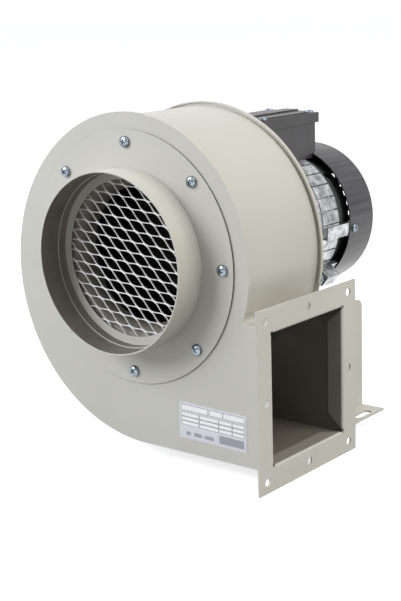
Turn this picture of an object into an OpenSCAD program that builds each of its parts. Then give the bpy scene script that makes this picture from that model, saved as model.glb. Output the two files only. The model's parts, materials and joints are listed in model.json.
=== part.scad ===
// Centrifugal blower: scroll casing, inlet spigot with guard, flanged outlet and a flange-mounted motor.
// Frame: the origin is on the shaft axis at the front face of the inlet ring.
// +X points the way the air leaves, +Y from the inlet towards the motor, +Z up.

/* [Inlet] */
// Outer radius of the inlet spigot
spigot_r = 80; // [76:0.5:83]
// Length of the spigot in front of the ring
spigot_len = 30.5; // [24:0.5:60]
// Sheet thickness of the spigot
spigot_wall = 1.5; // [1:0.1:2]
// Width of the mounting ring outside the spigot
ring_w = 32.4; // [30:0.2:36]
// Thickness of the mounting ring
ring_t = 1.5; // [1.4:0.1:3]
// Distance from the ring's edge in to its screws
screw_inset = 10.8; // [8:0.2:12]
// Number of screws round the ring
ring_screws = 8; // [6:1:12]
// Depth of the guard frame's rim
guard_depth = 9.8; // [6:0.2:14]
// Width of the guard frame's flat ring
guard_w = 8.8; // [6:0.2:12]
// Sheet thickness of the guard frame
guard_t = 1.2; // [0.8:0.1:2]
// Long way of one mesh opening
mesh_long = 27.4; // [20:0.2:34]
// Short way of one mesh opening
mesh_short = 10.3; // [8:0.1:14]
// Width of one mesh strand
strand_w = 1.4; // [1:0.1:2.2]
// Thickness of the guard mesh
mesh_t = 1.2; // [0.8:0.1:1.4]
// Turn of the mesh about the shaft axis, in degrees
mesh_turn = -25.3; // [-90:0.1:90]
// Radius of the inlet cone's throat
throat_r = 62; // [56:0.5:64]
// Radius of the inlet cone's bell
bell_r = 15; // [12:0.5:16]
// Depth of the inlet cone behind the ring
cone_depth = 22; // [18:0.5:28]

/* [Casing] */
// Sheet thickness of the casing
sheet_t = 1.2; // [0.8:0.1:2]
// Width of the casing over both side plates
casing_w = 110.5; // [108:0.5:125]
// Width of the side plate that shows outside the mounting ring
face_margin = 14.6; // [12:0.2:22]
// Depth of the casing floor under the shaft axis
floor_drop = 168; // [162:0.5:180]
// Angle at which the scroll starts to widen, in degrees
scroll_start = 115; // [105:1:125]
// Overhang of the side plates over the wrap
rim_over = 4; // [3:0.1:5]
// Depth of the folded rim of the side plates
rim_depth = 3.2; // [2.4:0.1:5]
// Depth of the duct's top under the shaft axis
duct_drop = 45; // [40:0.5:52]
// Overhang of the side plates over the duct's top
duct_over = 0.8; // [0.5:0.1:3]
// Inner radius of the bend at the tongue
tongue_r = 4; // [3:0.5:7]

/* [Outlet] */
// Distance from the shaft axis to the outlet flange's face
outlet_x = 147.6; // [144:0.2:180]
// Thickness of the outlet flange
flange_t = 1.5; // [1:0.1:3]
// Width of the flange outside the opening, front and rear
flange_side = 21.25; // [18:0.05:26]
// Width of the flange outside the opening, top and bottom
flange_end = 22.05; // [18:0.05:26]
// Radius of the flange's holes
flange_hole_r = 3.5; // [2.5:0.1:4.5]
// Distance from the flange's front and rear edges to the holes
hole_side = 11.6; // [9:0.1:12.5]
// Distance from the flange's top and bottom edges to the holes
hole_end = 9.95; // [8:0.05:12]
// Depth of the lips folded back into the duct
lip_len = 14; // [8:0.5:18]
// Radius of the relief notches in the opening's corners
notch_r = 2.2; // [1.5:0.1:3]

/* [Feet] */
// Distance from the shaft axis to the outer face of a foot's wall
foot_x = 112.6; // [108:0.2:116]
// Sheet thickness of a foot
foot_t = 2; // [1.5:0.1:3]
// Depth of a foot's top edge under the shaft axis
foot_top_drop = 62; // [56:0.5:66]
// Length of a foot behind the casing
foot_len = 86.9; // [84:0.1:110]
// Width of a foot's slotted tab
tab_w = 24; // [20:0.5:34]
// Distance from the tab's outer edge to the middle of its slots
slot_edge = 7.6; // [6.5:0.1:10]
// Width of a slot in the tab
slot_w = 8; // [6:0.5:9]
// Length of a slot in the tab
slot_len = 24; // [14:0.5:28]
// Distance between the two slots of a tab
slot_pitch = 40; // [34:0.5:44]
// Distance from the tab's rear end to the middle of its rear slot
slot_inset = 26.4; // [18:0.2:28]
// Width of the foot's flange against the casing
foot_flange_w = 58; // [54:0.5:62]
// Width of the stiffening flange on top of a foot
foot_cap_w = 16; // [10:0.5:24]

/* [Impeller] */
// Gap between the impeller and the wrap at the tongue
tongue_gap = 23.8; // [18:0.2:30]
// Number of impeller blades
blades = 24; // [12:1:30]
// Radial distance from the throat to the blades' inner edge
blade_inset = 10; // [7:0.5:13]
// Thickness of a blade
blade_t = 1.2; // [0.8:0.1:2]
// Angle from a blade's inner edge to its outer edge, in degrees
blade_lean = 9; // [4:0.5:12]
// Radius of a blade's curve
blade_curve_r = 26; // [22:0.5:50]
// Thickness of the impeller's back disc
disc_t = 1.6; // [1:0.1:3]
// Distance from the impeller's back disc to the rear plate
disc_gap = 15.7; // [15:0.1:18]
// Radius of the hub's boss
hub_r = 16; // [14:0.5:18]
// Radius of the hub's flange
hub_flange_r = 32; // [29:0.5:40]
// Thickness of the hub's flange
hub_flange_t = 4; // [3:0.5:5]

/* [Motor] */
// Outer radius of the motor's mounting flange
motor_flange_r = 70; // [68:0.5:76]
// Thickness of the motor's mounting flange
motor_flange_t = 10; // [9:0.5:14]
// Radius of the spigot that centres the motor
pilot_r = 47.5; // [44:0.5:48.5]
// Radius of the circle of motor screws
motor_screw_circle = 57.5; // [57:0.5:60]
// Radius of the motor frame over its pads
frame_r = 67.4; // [66.4:0.2:68]
// Length of the motor frame
frame_len = 104.7; // [100:0.1:130]
// Wall of the motor frame under its pads
frame_wall = 9.4; // [9:0.1:11]
// Height of the cast pads
pad_h = 2.8; // [1:0.1:3]
// Length of one row of pads
pad_len = 27.7; // [20:0.1:34]
// Number of pads round the frame
pads = 32; // [24:1:40]
// Groove between two pads
pad_gap = 1.4; // [0.8:0.1:2.5]
// Height of the fan cowl over the frame's pads
cowl_step = 4.2; // [4:0.1:8]
// Length of the fan cowl
cowl_len = 46.7; // [44:0.1:60]
// Sheet thickness of the fan cowl
cowl_t = 1; // [0.8:0.1:1.2]
// Radius of the cowl's rounded rear edge
cowl_edge_r = 6; // [3:0.5:8]
// Distance from the frame's rear end to the cowl
cowl_gap = 13.9; // [12:0.1:18]
// Depth of the rear end shield
rear_shield_len = 24.5; // [23:0.1:25]
// Radius of the shaft end that carries the impeller
shaft_r = 7; // [6.5:0.1:7]
// Length of the shaft in front of the motor's face
shaft_ext = 30; // [29:0.5:34]
// Radius of the rotor as a share of the frame's bore
rotor_share = 0.5543; // [0.5:0.0001:0.58]
// Air gap between rotor and stator
air_gap = 0.4; // [0.3:0.1:0.6]
// Length of the laminated core
core_len = 60; // [40:1:62]
// Gap between the cooling fan and the cowl
fan_side_gap = 10.6; // [6:0.2:20]
// Number of cooling fan blades
fan_blades = 9; // [5:1:13]

/* [Terminal box] */
// Half width of the box's lid
lid_half_w = 29.5; // [29:0.5:32]
// Length of the lid along the shaft
lid_len = 92; // [91:0.5:98]
// Distance from the motor's face to the lid
lid_start = 49.5; // [46:0.5:54]
// Height of the lid's rim over the motor frame
lid_rise = 38.1; // [37:0.1:46]
// Height of the lid with its skirt
lid_h = 9.6; // [8.6:0.1:12]
// Height of the lid's raised panel over its rim
panel_h = 1.2; // [0.6:0.1:2]
// Height of the crest on the lid's panel
crest_h = 1.5; // [0.6:0.1:3]
// Overhang of the lid over the body
lid_over = 1.5; // [1.2:0.1:3]
// Wall of the box
box_wall = 3; // [2.5:0.1:4]
// Bore radius of the cable gland
gland_bore_r = 5; // [3:0.1:6]

/* [Label] */
// Length of the rating label
label_w = 72.7; // [50:0.1:80]
// Height of the rating label
label_h = 32.7; // [20:0.1:38]
// Distance from the shaft axis to the label's middle
label_x = 85.1; // [76:0.1:96]
// Height of the label's middle over the casing floor
label_rise = 29.6; // [24:0.1:32]

/* [Hidden] */
$fn = 96;
// Overrun of cuts
cut = 1;
// Clearance between a screw and its hole
hole_gap = 0.25;
// Clearance between a thread and its nut
thread_gap = 0.05;
// Clearance of a seat
seat_gap = 0.05;
// Clearance between neighbouring pieces, and between moving and fixed ones
run_gap = 0.3;
hex_sides = 6;
// Cross recess: length and width as shares of the head's diameter, depth as a share of its height
cross_len_share = 0.58;
cross_w_share = 0.13;
cross_depth_share = 0.45;
// Rise of a screw head's dome as a share of the head's height
dome_share = 0.5;
// Bevel of a hexagon as a share of its half width
bevel_share = 0.08;

// M4, M5, M6 and M8 screws: shank, head radius or half width over flats, and heights
m4_r = 2;
m4_head_r = 4;
m4_head_h = 2.6;
m5_r = 2.5;
m5_head_r = 5;
m5_head_h = 3.6;
m5_flat = 4;
m5_nut_h = 4;
m5_hex_h = 3.5;
m6_r = 3;
m6_flat = 5;
m6_head_h = 4;
m6_nut_h = 5;
m8_r = 4;
m8_flat = 6.5;
m8_head_h = 5.3;
m8_washer_r = 8;
m8_washer_t = 1.6;
m8_len = 12;

// Ring, spigot and guard
spigot_in_r = spigot_r - spigot_wall;
ring_r = spigot_r + ring_w;
screw_circle_r = ring_r - screw_inset;
screw_turn = 90;
inlet_screw_len = ring_t + sheet_t + m5_nut_h;
guard_rim_r = spigot_in_r - seat_gap;
guard_in_r = spigot_in_r - guard_w;
mesh_edge_gap = 2;
mesh_r = spigot_in_r - mesh_edge_gap;
mesh_border = 2;
mesh_y = ring_t - mesh_t;
guard_y = mesh_y - guard_t;
// Place of one crossing of the strands, along and across the mesh's long way
mesh_shift_x = 10.5;
mesh_shift_z = -0.6;

// Inlet cone, held behind the ring in the front plate's opening
cone_t = 1.2;
cone_edge_gap = 9.9;
cone_flange_r = screw_circle_r - cone_edge_gap;
front_hole_r = cone_flange_r + run_gap;
cone_mouth_r = throat_r + bell_r;
cone_end_y = ring_t + cone_depth;

// Side plates, wrap and duct
plate_y = ring_t;
plate_in = plate_y + sheet_t;
rear_out = plate_y + casing_w;
rear_in = rear_out - sheet_t;
scroll_r = ring_r + face_margin;
scroll_grow = (floor_drop - scroll_r) / (1 + sin(scroll_start));
spiral_r = scroll_r + scroll_grow;
spiral_x = -scroll_grow * cos(scroll_start);
spiral_z = -scroll_grow * sin(scroll_start);
far = 3 * spiral_r;
sheet_end_x = outlet_x - flange_t;
// Height over the duct's top at which the folded rim stops
rim_stop = 16;
bend_reach_share = 4;

// Outlet opening, between the folded lips
lip_t = sheet_t;
lip_taper = 3;
open_y0 = plate_in + lip_t;
open_y1 = rear_in - lip_t;
open_z0 = -floor_drop + rim_over + sheet_t + lip_t;
open_z1 = -duct_drop - duct_over - sheet_t - lip_t;
flange_y0 = open_y0 - flange_side;
flange_y1 = open_y1 + flange_side;
flange_z0 = open_z0 - flange_end;
flange_z1 = open_z1 + flange_end;

// Rating label
label_t = 0.3;
label_turn = -1;
label_corner_r = 2;

// Feet
foot_y0 = rear_out;
foot_y1 = foot_y0 + foot_len;
foot_base_z = -floor_drop;
foot_top_z = -foot_top_drop;
foot_corner_r = 8;
foot_in_x = foot_x - foot_t;
foot_flange_x = foot_in_x - foot_flange_w;
slot_x = foot_x + tab_w - slot_edge;
slot_y1 = foot_y1 - slot_inset;
slot_y0 = slot_y1 - slot_pitch;
foot_bolt_inset = 12;
foot_bolt_drop = 20;
foot_bolt_pitch = 50;
foot_bolt_x = foot_flange_x + foot_bolt_inset;
foot_bolt_z1 = foot_top_z - foot_bolt_drop;
foot_bolt_z0 = foot_bolt_z1 - foot_bolt_pitch;
foot_bolt_len = foot_t + sheet_t + m6_nut_h;

// Impeller
wheel_r = scroll_r - rim_over - sheet_t - tongue_gap;
blade_in_r = throat_r + blade_inset;
blade_reach_share = 2;
eye_gap = 1.5;
eye_r = throat_r + cone_t + eye_gap;
eye_overlap = 4;
wheel_ring_t = 1.2;
wheel_y0 = cone_end_y - eye_overlap;
blade_y0 = wheel_y0 + wheel_ring_t;
disc_y1 = rear_in - disc_gap;
disc_y0 = disc_y1 - disc_t;
wheel_edge = 1;
blade_out_r = wheel_r - wheel_edge;
shaft_tip_y = rear_out - shaft_ext;
hub_over = 0.5;
hub_len = 21;
hub_y0 = shaft_tip_y - hub_over;
hub_y1 = hub_y0 + hub_len;
hub_back_y = disc_y1 + hub_flange_t;
rivets = 6;
rivet_r = 2.5;
rivet_head_r = 4.2;
rivet_head_h = 1.8;
rivet_circle_r = (hub_r + hub_flange_r) / 2;
key_w = 5;
key_h = 5;
key_sunk = 3;
key_len = 16;
key_in_r = shaft_r - key_sunk;
key_out_r = key_in_r + key_h;
key_y0 = hub_y0 + (hub_len - key_len) / 2;
end_washer_r = 11;
end_washer_t = 1.6;
end_bolt_len = 12;
end_hole_len = 14;

// Motor shields and frame
motor_y = rear_out;
pilot_h = 2.7;
pilot_gap = 0.2;
pilot_y = motor_y - pilot_h;
motor_flange_y1 = motor_y + motor_flange_t;
neck_h = 3.5;
frame_y0 = motor_flange_y1 + neck_h;
frame_y1 = frame_y0 + frame_len;
frame_base_r = frame_r - pad_h;
frame_bore_r = frame_base_r - frame_wall;
frame_mid_r = (frame_bore_r + frame_base_r) / 2;
pad_turn = 2;
register_h = 4;
register_r = frame_bore_r - seat_gap;
register_in_r = register_r - register_h;
bearing_r = 17.5;
bearing_bore_r = 7.5;
bearing_w = 11;
ball_r = 3;
balls = 8;
ball_circle_r = (bearing_r + bearing_bore_r) / 2;
race_t = 3.1;
front_bearing_y = frame_y0 - bearing_w;
rear_bearing_in = 4.3;
rear_bearing_y = frame_y1 + rear_bearing_in;
wave_t = 0.6;
wave_in_r = 13;
wave_out_r = 17;
wave_y = rear_bearing_y + bearing_w;
pocket_y1 = wave_y + wave_t;
bearing_hub_r = 23;
shaft_hole_r = 8.3;
front_web_t = 8;
front_web_y = pilot_y + front_web_t;
rear_web_t = 5;
rear_shield_step = 1.6;
rear_shield_taper = 6.2;
rear_shield_r = frame_base_r + rear_shield_step;
rear_shield_end_r = rear_shield_r - rear_shield_taper;
rear_shield_y1 = frame_y1 + rear_shield_len;
rear_web_y = rear_shield_y1 - rear_web_t;
m8_hole_len = 11;
frame_screws = 4;
frame_screw_r = frame_mid_r;
frame_screw_seat = 5.6;
frame_screw_len = 20;
frame_tap_len = 16;
rear_screw_r = frame_mid_r;
rear_screw_seat = 5.8;
rear_screw_len = 16;
rear_tap_len = 12;
counterbore_gap = 0.4;

// Arms of the frame that carry the cowl
arm_turns = [-5, 121.5, -125];
arm_w = 12.5;
arm_len = 51;
arm_rear = 27.3;
arm_y1 = frame_y1 + arm_rear;
arm_y0 = arm_y1 - arm_len;
arm_gap = 0.6;
arm_in_r = rear_shield_r + arm_gap;
cowl_r = frame_r + cowl_step;
cowl_in_r = cowl_r - cowl_t;
arm_out_r = cowl_in_r - seat_gap;
cowl_screw_inset = 6;
cowl_screw_y = arm_y1 - cowl_screw_inset;
cowl_screw_len = 4.2;

// Earth lug
lug_turn = -40;
lug_w = 12.5;
lug_rise = 16.6;
lug_hole_rise = 10.6;
lug_r = frame_r + lug_rise;
lug_low_r = arm_out_r;
lug_bolt_r = frame_r + lug_hole_rise;
lug_front = 21;
lug_rear = 11;
lug_y0 = frame_y1 - lug_front;
lug_y1 = frame_y1 + lug_rear;
lug_bolt_len = 12;
lug_tap_len = 14;

// Stator and rotor
core_y0 = (frame_y0 + frame_y1 - core_len) / 2;
core_y1 = core_y0 + core_len;
rotor_r = frame_bore_r * rotor_share;
stator_in_r = rotor_r + air_gap;
slots = 24;
slot_mouth_w = 1.6;
slot_root_h = 3;
slot_w_share = 0.0833;
slot_end_share = 0.8424;
slot_body_w = frame_bore_r * slot_w_share;
slot_end_r = frame_bore_r * slot_end_share;
slot_in_r = stator_in_r + slot_root_h;
head_len = 15;
head_over = 0.6;
head_in_r = slot_in_r - head_over;
head_out_r = slot_end_r + slot_body_w / 2 + head_over;
head_round_r = 4;
rotor_shaft_r = 9;
cage_in_share = 0.5883;
cage_in_r = rotor_r * cage_in_share;
cage_edge = 1.2;
cage_out_r = rotor_r - cage_edge;
cage_len = 6;

// Shaft and seal
seat_end = 1;
fan_shaft_r = 6;
seal_len = 3.6;
seal_lip = 1.6;
seal_r = 10.5;
seal_lip_r = 12.6;
seal_y1 = pilot_y - run_gap;
seal_y0 = seal_y1 - seal_len;
shoulder_in = 1;
shoulder_y = motor_y + shoulder_in;

// Cooling fan
fan_r = cowl_in_r - fan_side_gap;
fan_gap = 2.3;
fan_y0 = rear_shield_y1 + fan_gap;
fan_disc_t = 2;
fan_hub_r = 12;
fan_hub_len = 19;
fan_blade_t = 2;
fan_blade_in_r = 20;
fan_blade_inset = 1;
fan_blade_h = 21;
fan_hub_y1 = fan_y0 + fan_hub_len;
clip_gap = 0.1;
clip_t = 1.2;
clip_r = 8.6;
clip_sunk = 0.5;
clip_in_r = fan_shaft_r - clip_sunk;
clip_open = 4;
clip_y0 = fan_hub_y1 + clip_gap;
shaft_stub = 1;
shaft_end_y = clip_y0 + clip_t + shaft_stub;

// Cowl
cowl_y0 = frame_y1 + cowl_gap;
cowl_y1 = cowl_y0 + cowl_len;
vent_r = 3.2;
vent_rings = 4;
vent_first_r = 12;
vent_pitch = 10;

// Terminal box
lid_top = frame_r + lid_rise;
lid_y0 = motor_y + lid_start;
lid_y1 = lid_y0 + lid_len;
lid_low_z = lid_top - lid_h;
lid_skin = 2.5;
box_half_w = lid_half_w - lid_over;
box_y0 = lid_y0 + lid_over;
lid_over_rear = 4.5;
box_y1 = lid_y1 - lid_over_rear;
box_drop = 7.1;
box_top = lid_top - box_drop;
gasket_t = 1;
gasket_top = box_top + gasket_t;
box_floor = 4.1;
box_floor_z = frame_r + box_floor;
box_in_half = box_half_w - box_wall;
box_in_y0 = box_y0 + box_wall;
box_in_y1 = min(cowl_y0, box_y1) - box_wall;
box_in_len = box_in_y1 - box_in_y0;
saddle_drop = 12;
saddle_z = frame_r - saddle_drop;
cowl_clear = 0.8;
lid_screw_inset = 3.8;
lid_screw_x = box_half_w - lid_screw_inset;
lid_screw_y0 = box_y0 + lid_screw_inset;
lid_screw_y1 = box_y1 - lid_screw_inset;
lid_screw_len = 18;
lid_tap_len = 13;
lid_post_r = 4;
panel_inset = 4;
panel_clear = 1;
crest_half_w = 8;
lead_hole_r = 6;
lead_inset = 15;
lead_y = box_in_y0 + lead_inset;
box_screw_y0 = lead_y + lead_inset;
box_screw_inset = 6;
box_screw_y1 = min(frame_y1, box_in_y1) - box_screw_inset;
box_screw_len = 11;
box_tap_len = 8.5;

// Parts inside the box
gland_inset = 19.9;
gland_flat = 11.5;
gland_corner_r = gland_flat / cos(180 / hex_sides);
block_w = 18;
block_h = 11.5;
block_gap = 1;
block_inset = 5;
block_len = box_in_len - block_inset - gland_inset - gland_corner_r - block_gap;
block_x0 = -box_in_half + block_gap;
block_y1 = box_in_y1 - block_inset;
block_y0 = block_y1 - block_len;
block_top = box_floor_z + block_h;
stud_r = 2;
stud_pitch = 11;
stud_rows = max(1, floor(block_len / stud_pitch));
stud_sunk = 6;
stud_len = 15;
stud_flat = 3.5;
stud_nut_h = 3;
capacitor_r = 11.5;
capacitor_inset = 6;
capacitor_room = 11.1;
capacitor_len = box_in_len - capacitor_inset - capacitor_room;
capacitor_cap_h = 3;
capacitor_step = 3;
strap_t = 0.8;
strap_w = 12;
strap_foot_w = 8;
strap_out_r = capacitor_r + seat_gap + strap_t;
capacitor_x = box_in_half - strap_out_r - run_gap;
capacitor_z = box_floor_z + strap_out_r;
capacitor_y0 = box_in_y0 + capacitor_inset;
strap_y0 = capacitor_y0 + (capacitor_len - strap_w) / 2;

// Cable gland
gland_y = box_in_y0 + gland_inset;
gland_rise = 12.2;
gland_z = box_floor_z + gland_rise;
gland_thread_r = 10;
gland_flange_t = 6;
gland_neck_r = 9;
gland_neck_len = 10;
gland_inside = 6;
gland_nut_t = 4;
gland_cap_gap = 0.5;
gland_cap_hex = 9;
gland_cap_len = 14;
gland_cap_end = 3.5;
gland_cap_out_r = 8.5;

// Colours
casing_colour = "#C6C6C2";
black_colour = "#2B2B2D";
zinc_colour = "#C9CBCB";
steel_colour = "#9DA0A3";
dark_colour = "#4A474A";
cast_colour = "#C9CCCE";

// Shared shapes

// An outline drawn in X and Z, from y0 to y1
module slab(y0, y1) {
    translate([0, y1, 0])
    rotate([90, 0, 0])
    linear_extrude(y1 - y0)
    children();
}

// An outline drawn in Y and Z, from x0 to x1
module across(x0, x1) {
    translate([x0, 0, 0])
    rotate([90, 0, 90])
    linear_extrude(x1 - x0)
    children();
}

// A profile drawn as radius and Y, turned about the shaft axis
module turned() {
    rotate([-90, 0, 0])
    rotate_extrude()
    children();
}

// A cylinder about the Y axis, from y0 to y1
module disc(r, y0, y1) {
    translate([0, y0, 0])
    rotate([-90, 0, 0])
    cylinder(h = y1 - y0, r = r);
}

// Something at a radius and an angle round the shaft axis, its X axis pointing outwards
module polar(r, a) {
    rotate([0, -a, 0])
    translate([r, 0, 0])
    children();
}

// Copies round the shaft axis
module round_axis(n, turn, r) {
    for (i = [0:n - 1])
        polar(r, turn + i * 360 / n)
        children();
}

// Circles on a circle, in an outline
module hole_circle(n, turn, circle_r, r) {
    for (i = [0:n - 1])
        rotate(turn + i * 360 / n)
        translate([circle_r, 0])
        circle(r);
}

module round_rect(w, h, r) {
    translate([r, 0])
    square([w - 2 * r, h]);
    translate([0, r])
    square([w, h - 2 * r]);
    for (x = [r, w - r])
        for (y = [r, h - r])
            translate([x, y])
            circle(r);
}

// A hexagon prism along +Y, flat is half its width over flats
module hex_y(flat, h) {
    rotate([-90, 0, 0])
    cylinder(h = h, r = flat / cos(180 / hex_sides), $fn = hex_sides);
}

// A nut along +Y on a screw of radius r
module nut(flat, r, h) {
    difference() {
        hex_y(flat, h);
        disc(r + thread_gap, -cut, h + cut);
    }
}

// A hexagon bolt: its seat at y = 0, its head towards -Y, its shank towards +Y
module hex_bolt(flat, head_h, r, len) {
    bevel = flat * bevel_share;
    corner_r = flat / cos(180 / hex_sides) + bevel;
    translate([0, -head_h, 0])
    intersection() {
        hex_y(flat, head_h);
        turned()
        polygon([
            [0, 0], [flat - bevel, 0], [corner_r, (corner_r - flat + bevel) * tan(30)],
            [corner_r, head_h], [0, head_h]
        ]);
    }
    disc(r, 0, len);
}

// A screw with a domed head and a cross recess, placed like hex_bolt
module pan_screw(r, head_r, head_h, len) {
    rise = head_h * dome_share;
    dome_r = (pow(head_r, 2) + pow(rise, 2)) / (2 * rise);
    recess_len = 2 * head_r * cross_len_share;
    recess_w = 2 * head_r * cross_w_share;
    recess_h = head_h * cross_depth_share;
    difference() {
        union() {
            turned()
            intersection() {
                translate([0, -head_h])
                square([head_r, head_h]);
                translate([0, dome_r - head_h])
                circle(dome_r);
            }
            disc(r, 0, len);
        }
        for (a = [0, 90])
            rotate([0, a, 0])
            translate([-recess_len / 2, -head_h - cut, -recess_w / 2])
            cube([recess_len, recess_h + cut, recess_w]);
    }
}

// A rivet head towards -Y, its seat at y = 0
module rivet_head(r, h) {
    dome_r = (pow(r, 2) + pow(h, 2)) / (2 * h);
    turned()
    intersection() {
        translate([0, -h])
        square([r, h]);
        translate([0, dome_r - h])
        circle(dome_r);
    }
}

// Scroll casing

// The casing's outline, drawn in by inset round the scroll and by duct_inset along the duct's top
module scroll_outline(inset, duct_inset, end_x) {
    round_r = scroll_r - inset;
    top_z = -duct_drop - duct_inset;
    bend_r = tongue_r + duct_inset;
    bend_z = top_z + bend_r;
    bend_x = sqrt(pow(round_r + bend_r, 2) - pow(bend_z, 2));
    corner_x = sqrt(pow(round_r, 2) - pow(top_z, 2));
    touch = round_r / (round_r + bend_r);
    ray_x = spiral_x + far * cos(scroll_start);
    ray_z = spiral_z + far * sin(scroll_start);
    intersection() {
        circle(round_r);
        polygon([
            [spiral_x, spiral_z], [ray_x, ray_z], [far, far], [far, -far], [spiral_x, -far]
        ]);
    }
    intersection() {
        translate([spiral_x, spiral_z])
        circle(spiral_r - inset);
        polygon([
            [spiral_x, spiral_z], [spiral_x, -far], [-far, -far], [-far, far], [ray_x, ray_z]
        ]);
    }
    translate([spiral_x, -floor_drop + inset])
    square([end_x - spiral_x, floor_drop - inset + top_z]);
    difference() {
        polygon([
            [corner_x, top_z], [bend_x * touch, bend_z * touch], [bend_x, bend_z], [bend_x, top_z]
        ]);
        translate([bend_x, bend_z])
        circle(bend_r);
    }
}

// The folded rim of a side plate, left open along the duct's top
module rim_outline() {
    difference() {
        scroll_outline(0, 0, sheet_end_x);
        scroll_outline(sheet_t, sheet_t, sheet_end_x + cut);
        translate([0, -floor_drop / 2 - duct_drop / 2])
        square([far, floor_drop / 2 - duct_drop / 2 + rim_stop]);
    }
}

// The places of the bolts that hold the feet
module at_foot_bolts() {
    for (side = [-1, 1])
        for (z = [foot_bolt_z0, foot_bolt_z1])
            translate([side * foot_bolt_x, 0, z])
            children();
}

module front_plate() {
    color(casing_colour) {
        slab(plate_y, plate_in)
        difference() {
            scroll_outline(0, 0, sheet_end_x);
            circle(front_hole_r);
            hole_circle(ring_screws, screw_turn, screw_circle_r, m5_r + hole_gap);
        }
        slab(plate_in, plate_y + rim_depth)
        rim_outline();
    }
}

module rear_plate() {
    color(casing_colour) {
        slab(rear_in, rear_out)
        difference() {
            scroll_outline(0, 0, sheet_end_x);
            circle(pilot_r + pilot_gap);
            hole_circle(frame_screws, 45, motor_screw_circle, m8_r + 2 * hole_gap);
            for (side = [-1, 1])
                for (z = [foot_bolt_z0, foot_bolt_z1])
                    translate([side * foot_bolt_x, z])
                    circle(m6_r + hole_gap);
        }
        slab(rear_out - rim_depth, rear_in)
        rim_outline();
    }
}

// The wrap's cross section: scroll, widening scroll, floor, bend at the tongue and top of the duct
module wrap_outline() {
    out_r = scroll_r - rim_over;
    in_r = out_r - sheet_t;
    wide_r = spiral_r - rim_over;
    floor_z = -floor_drop + rim_over;
    top_z = -duct_drop - duct_over;
    bend_r = tongue_r + duct_over;
    bend_z = top_z + bend_r;
    bend_x = sqrt(pow(out_r + bend_r, 2) - pow(bend_z, 2));
    bend_reach = bend_reach_share * (bend_r + sheet_t);
    ray_x = spiral_x + far * cos(scroll_start);
    ray_z = spiral_z + far * sin(scroll_start);
    intersection() {
        difference() {
            circle(out_r);
            circle(in_r);
        }
        polygon([[0, 0], [bend_x, bend_z], [far, bend_z], [far, far], [-far, far]]);
        polygon([
            [spiral_x, spiral_z], [ray_x, ray_z], [far, far], [far, -far], [spiral_x, -far]
        ]);
    }
    intersection() {
        translate([spiral_x, spiral_z])
        difference() {
            circle(wide_r);
            circle(wide_r - sheet_t);
        }
        polygon([
            [spiral_x, spiral_z], [spiral_x, -far], [-far, -far], [-far, far], [ray_x, ray_z]
        ]);
    }
    translate([spiral_x, floor_z])
    square([sheet_end_x - spiral_x, sheet_t]);
    intersection() {
        translate([bend_x, bend_z])
        difference() {
            circle(bend_r + sheet_t);
            circle(bend_r);
        }
        polygon([[bend_x, bend_z], [bend_x, bend_z - bend_reach], [0, 0]]);
    }
    translate([bend_x, top_z - sheet_t])
    square([sheet_end_x - bend_x, sheet_t]);
}

module scroll_wrap() {
    color(casing_colour)
    slab(plate_in, rear_in)
    wrap_outline();
}

module outlet_flange() {
    hole_ys = [flange_y0 + hole_side, (flange_y0 + flange_y1) / 2, flange_y1 - hole_side];
    hole_zs = [flange_z0 + hole_end, (flange_z0 + flange_z1) / 2, flange_z1 - hole_end];
    lip_x = sheet_end_x - lip_len;
    color(casing_colour) {
        across(sheet_end_x, outlet_x)
        difference() {
            translate([flange_y0, flange_z0])
            square([flange_y1 - flange_y0, flange_z1 - flange_z0]);
            translate([open_y0, open_z0])
            square([open_y1 - open_y0, open_z1 - open_z0]);
            for (y = [open_y0, open_y1])
                for (z = [open_z0, open_z1])
                    translate([y, z])
                    circle(notch_r);
            for (i = [0:2])
                for (j = [0:2])
                    if (i != 1 || j != 1)
                        translate([hole_ys[i], hole_zs[j]])
                        circle(flange_hole_r);
        }
        for (y = [open_y0 - lip_t, open_y1])
            slab(y, y + lip_t)
            polygon([
                [sheet_end_x, open_z0 + notch_r], [lip_x, open_z0 + notch_r + lip_taper],
                [lip_x, open_z1 - notch_r - lip_taper], [sheet_end_x, open_z1 - notch_r]
            ]);
        for (z = [open_z0 - lip_t, open_z1])
            translate([0, 0, z])
            linear_extrude(lip_t)
            polygon([
                [sheet_end_x, open_y0 + notch_r], [lip_x, open_y0 + notch_r + lip_taper],
                [lip_x, open_y1 - notch_r - lip_taper], [sheet_end_x, open_y1 - notch_r]
            ]);
    }
}

// Inlet

module inlet_ring() {
    color(casing_colour)
    slab(0, ring_t)
    difference() {
        circle(ring_r);
        circle(spigot_in_r);
        hole_circle(ring_screws, screw_turn, screw_circle_r, m5_r + hole_gap);
    }
}

module inlet_spigot() {
    color(casing_colour)
    slab(-spigot_len, 0)
    difference() {
        circle(spigot_r);
        circle(spigot_in_r);
    }
}

module guard_frame() {
    color(casing_colour)
    turned() {
        translate([guard_rim_r - guard_t, mesh_y - guard_depth])
        square([guard_t, guard_depth]);
        translate([guard_in_r, guard_y])
        square([guard_rim_r - guard_in_r, guard_t]);
    }
}

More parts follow.
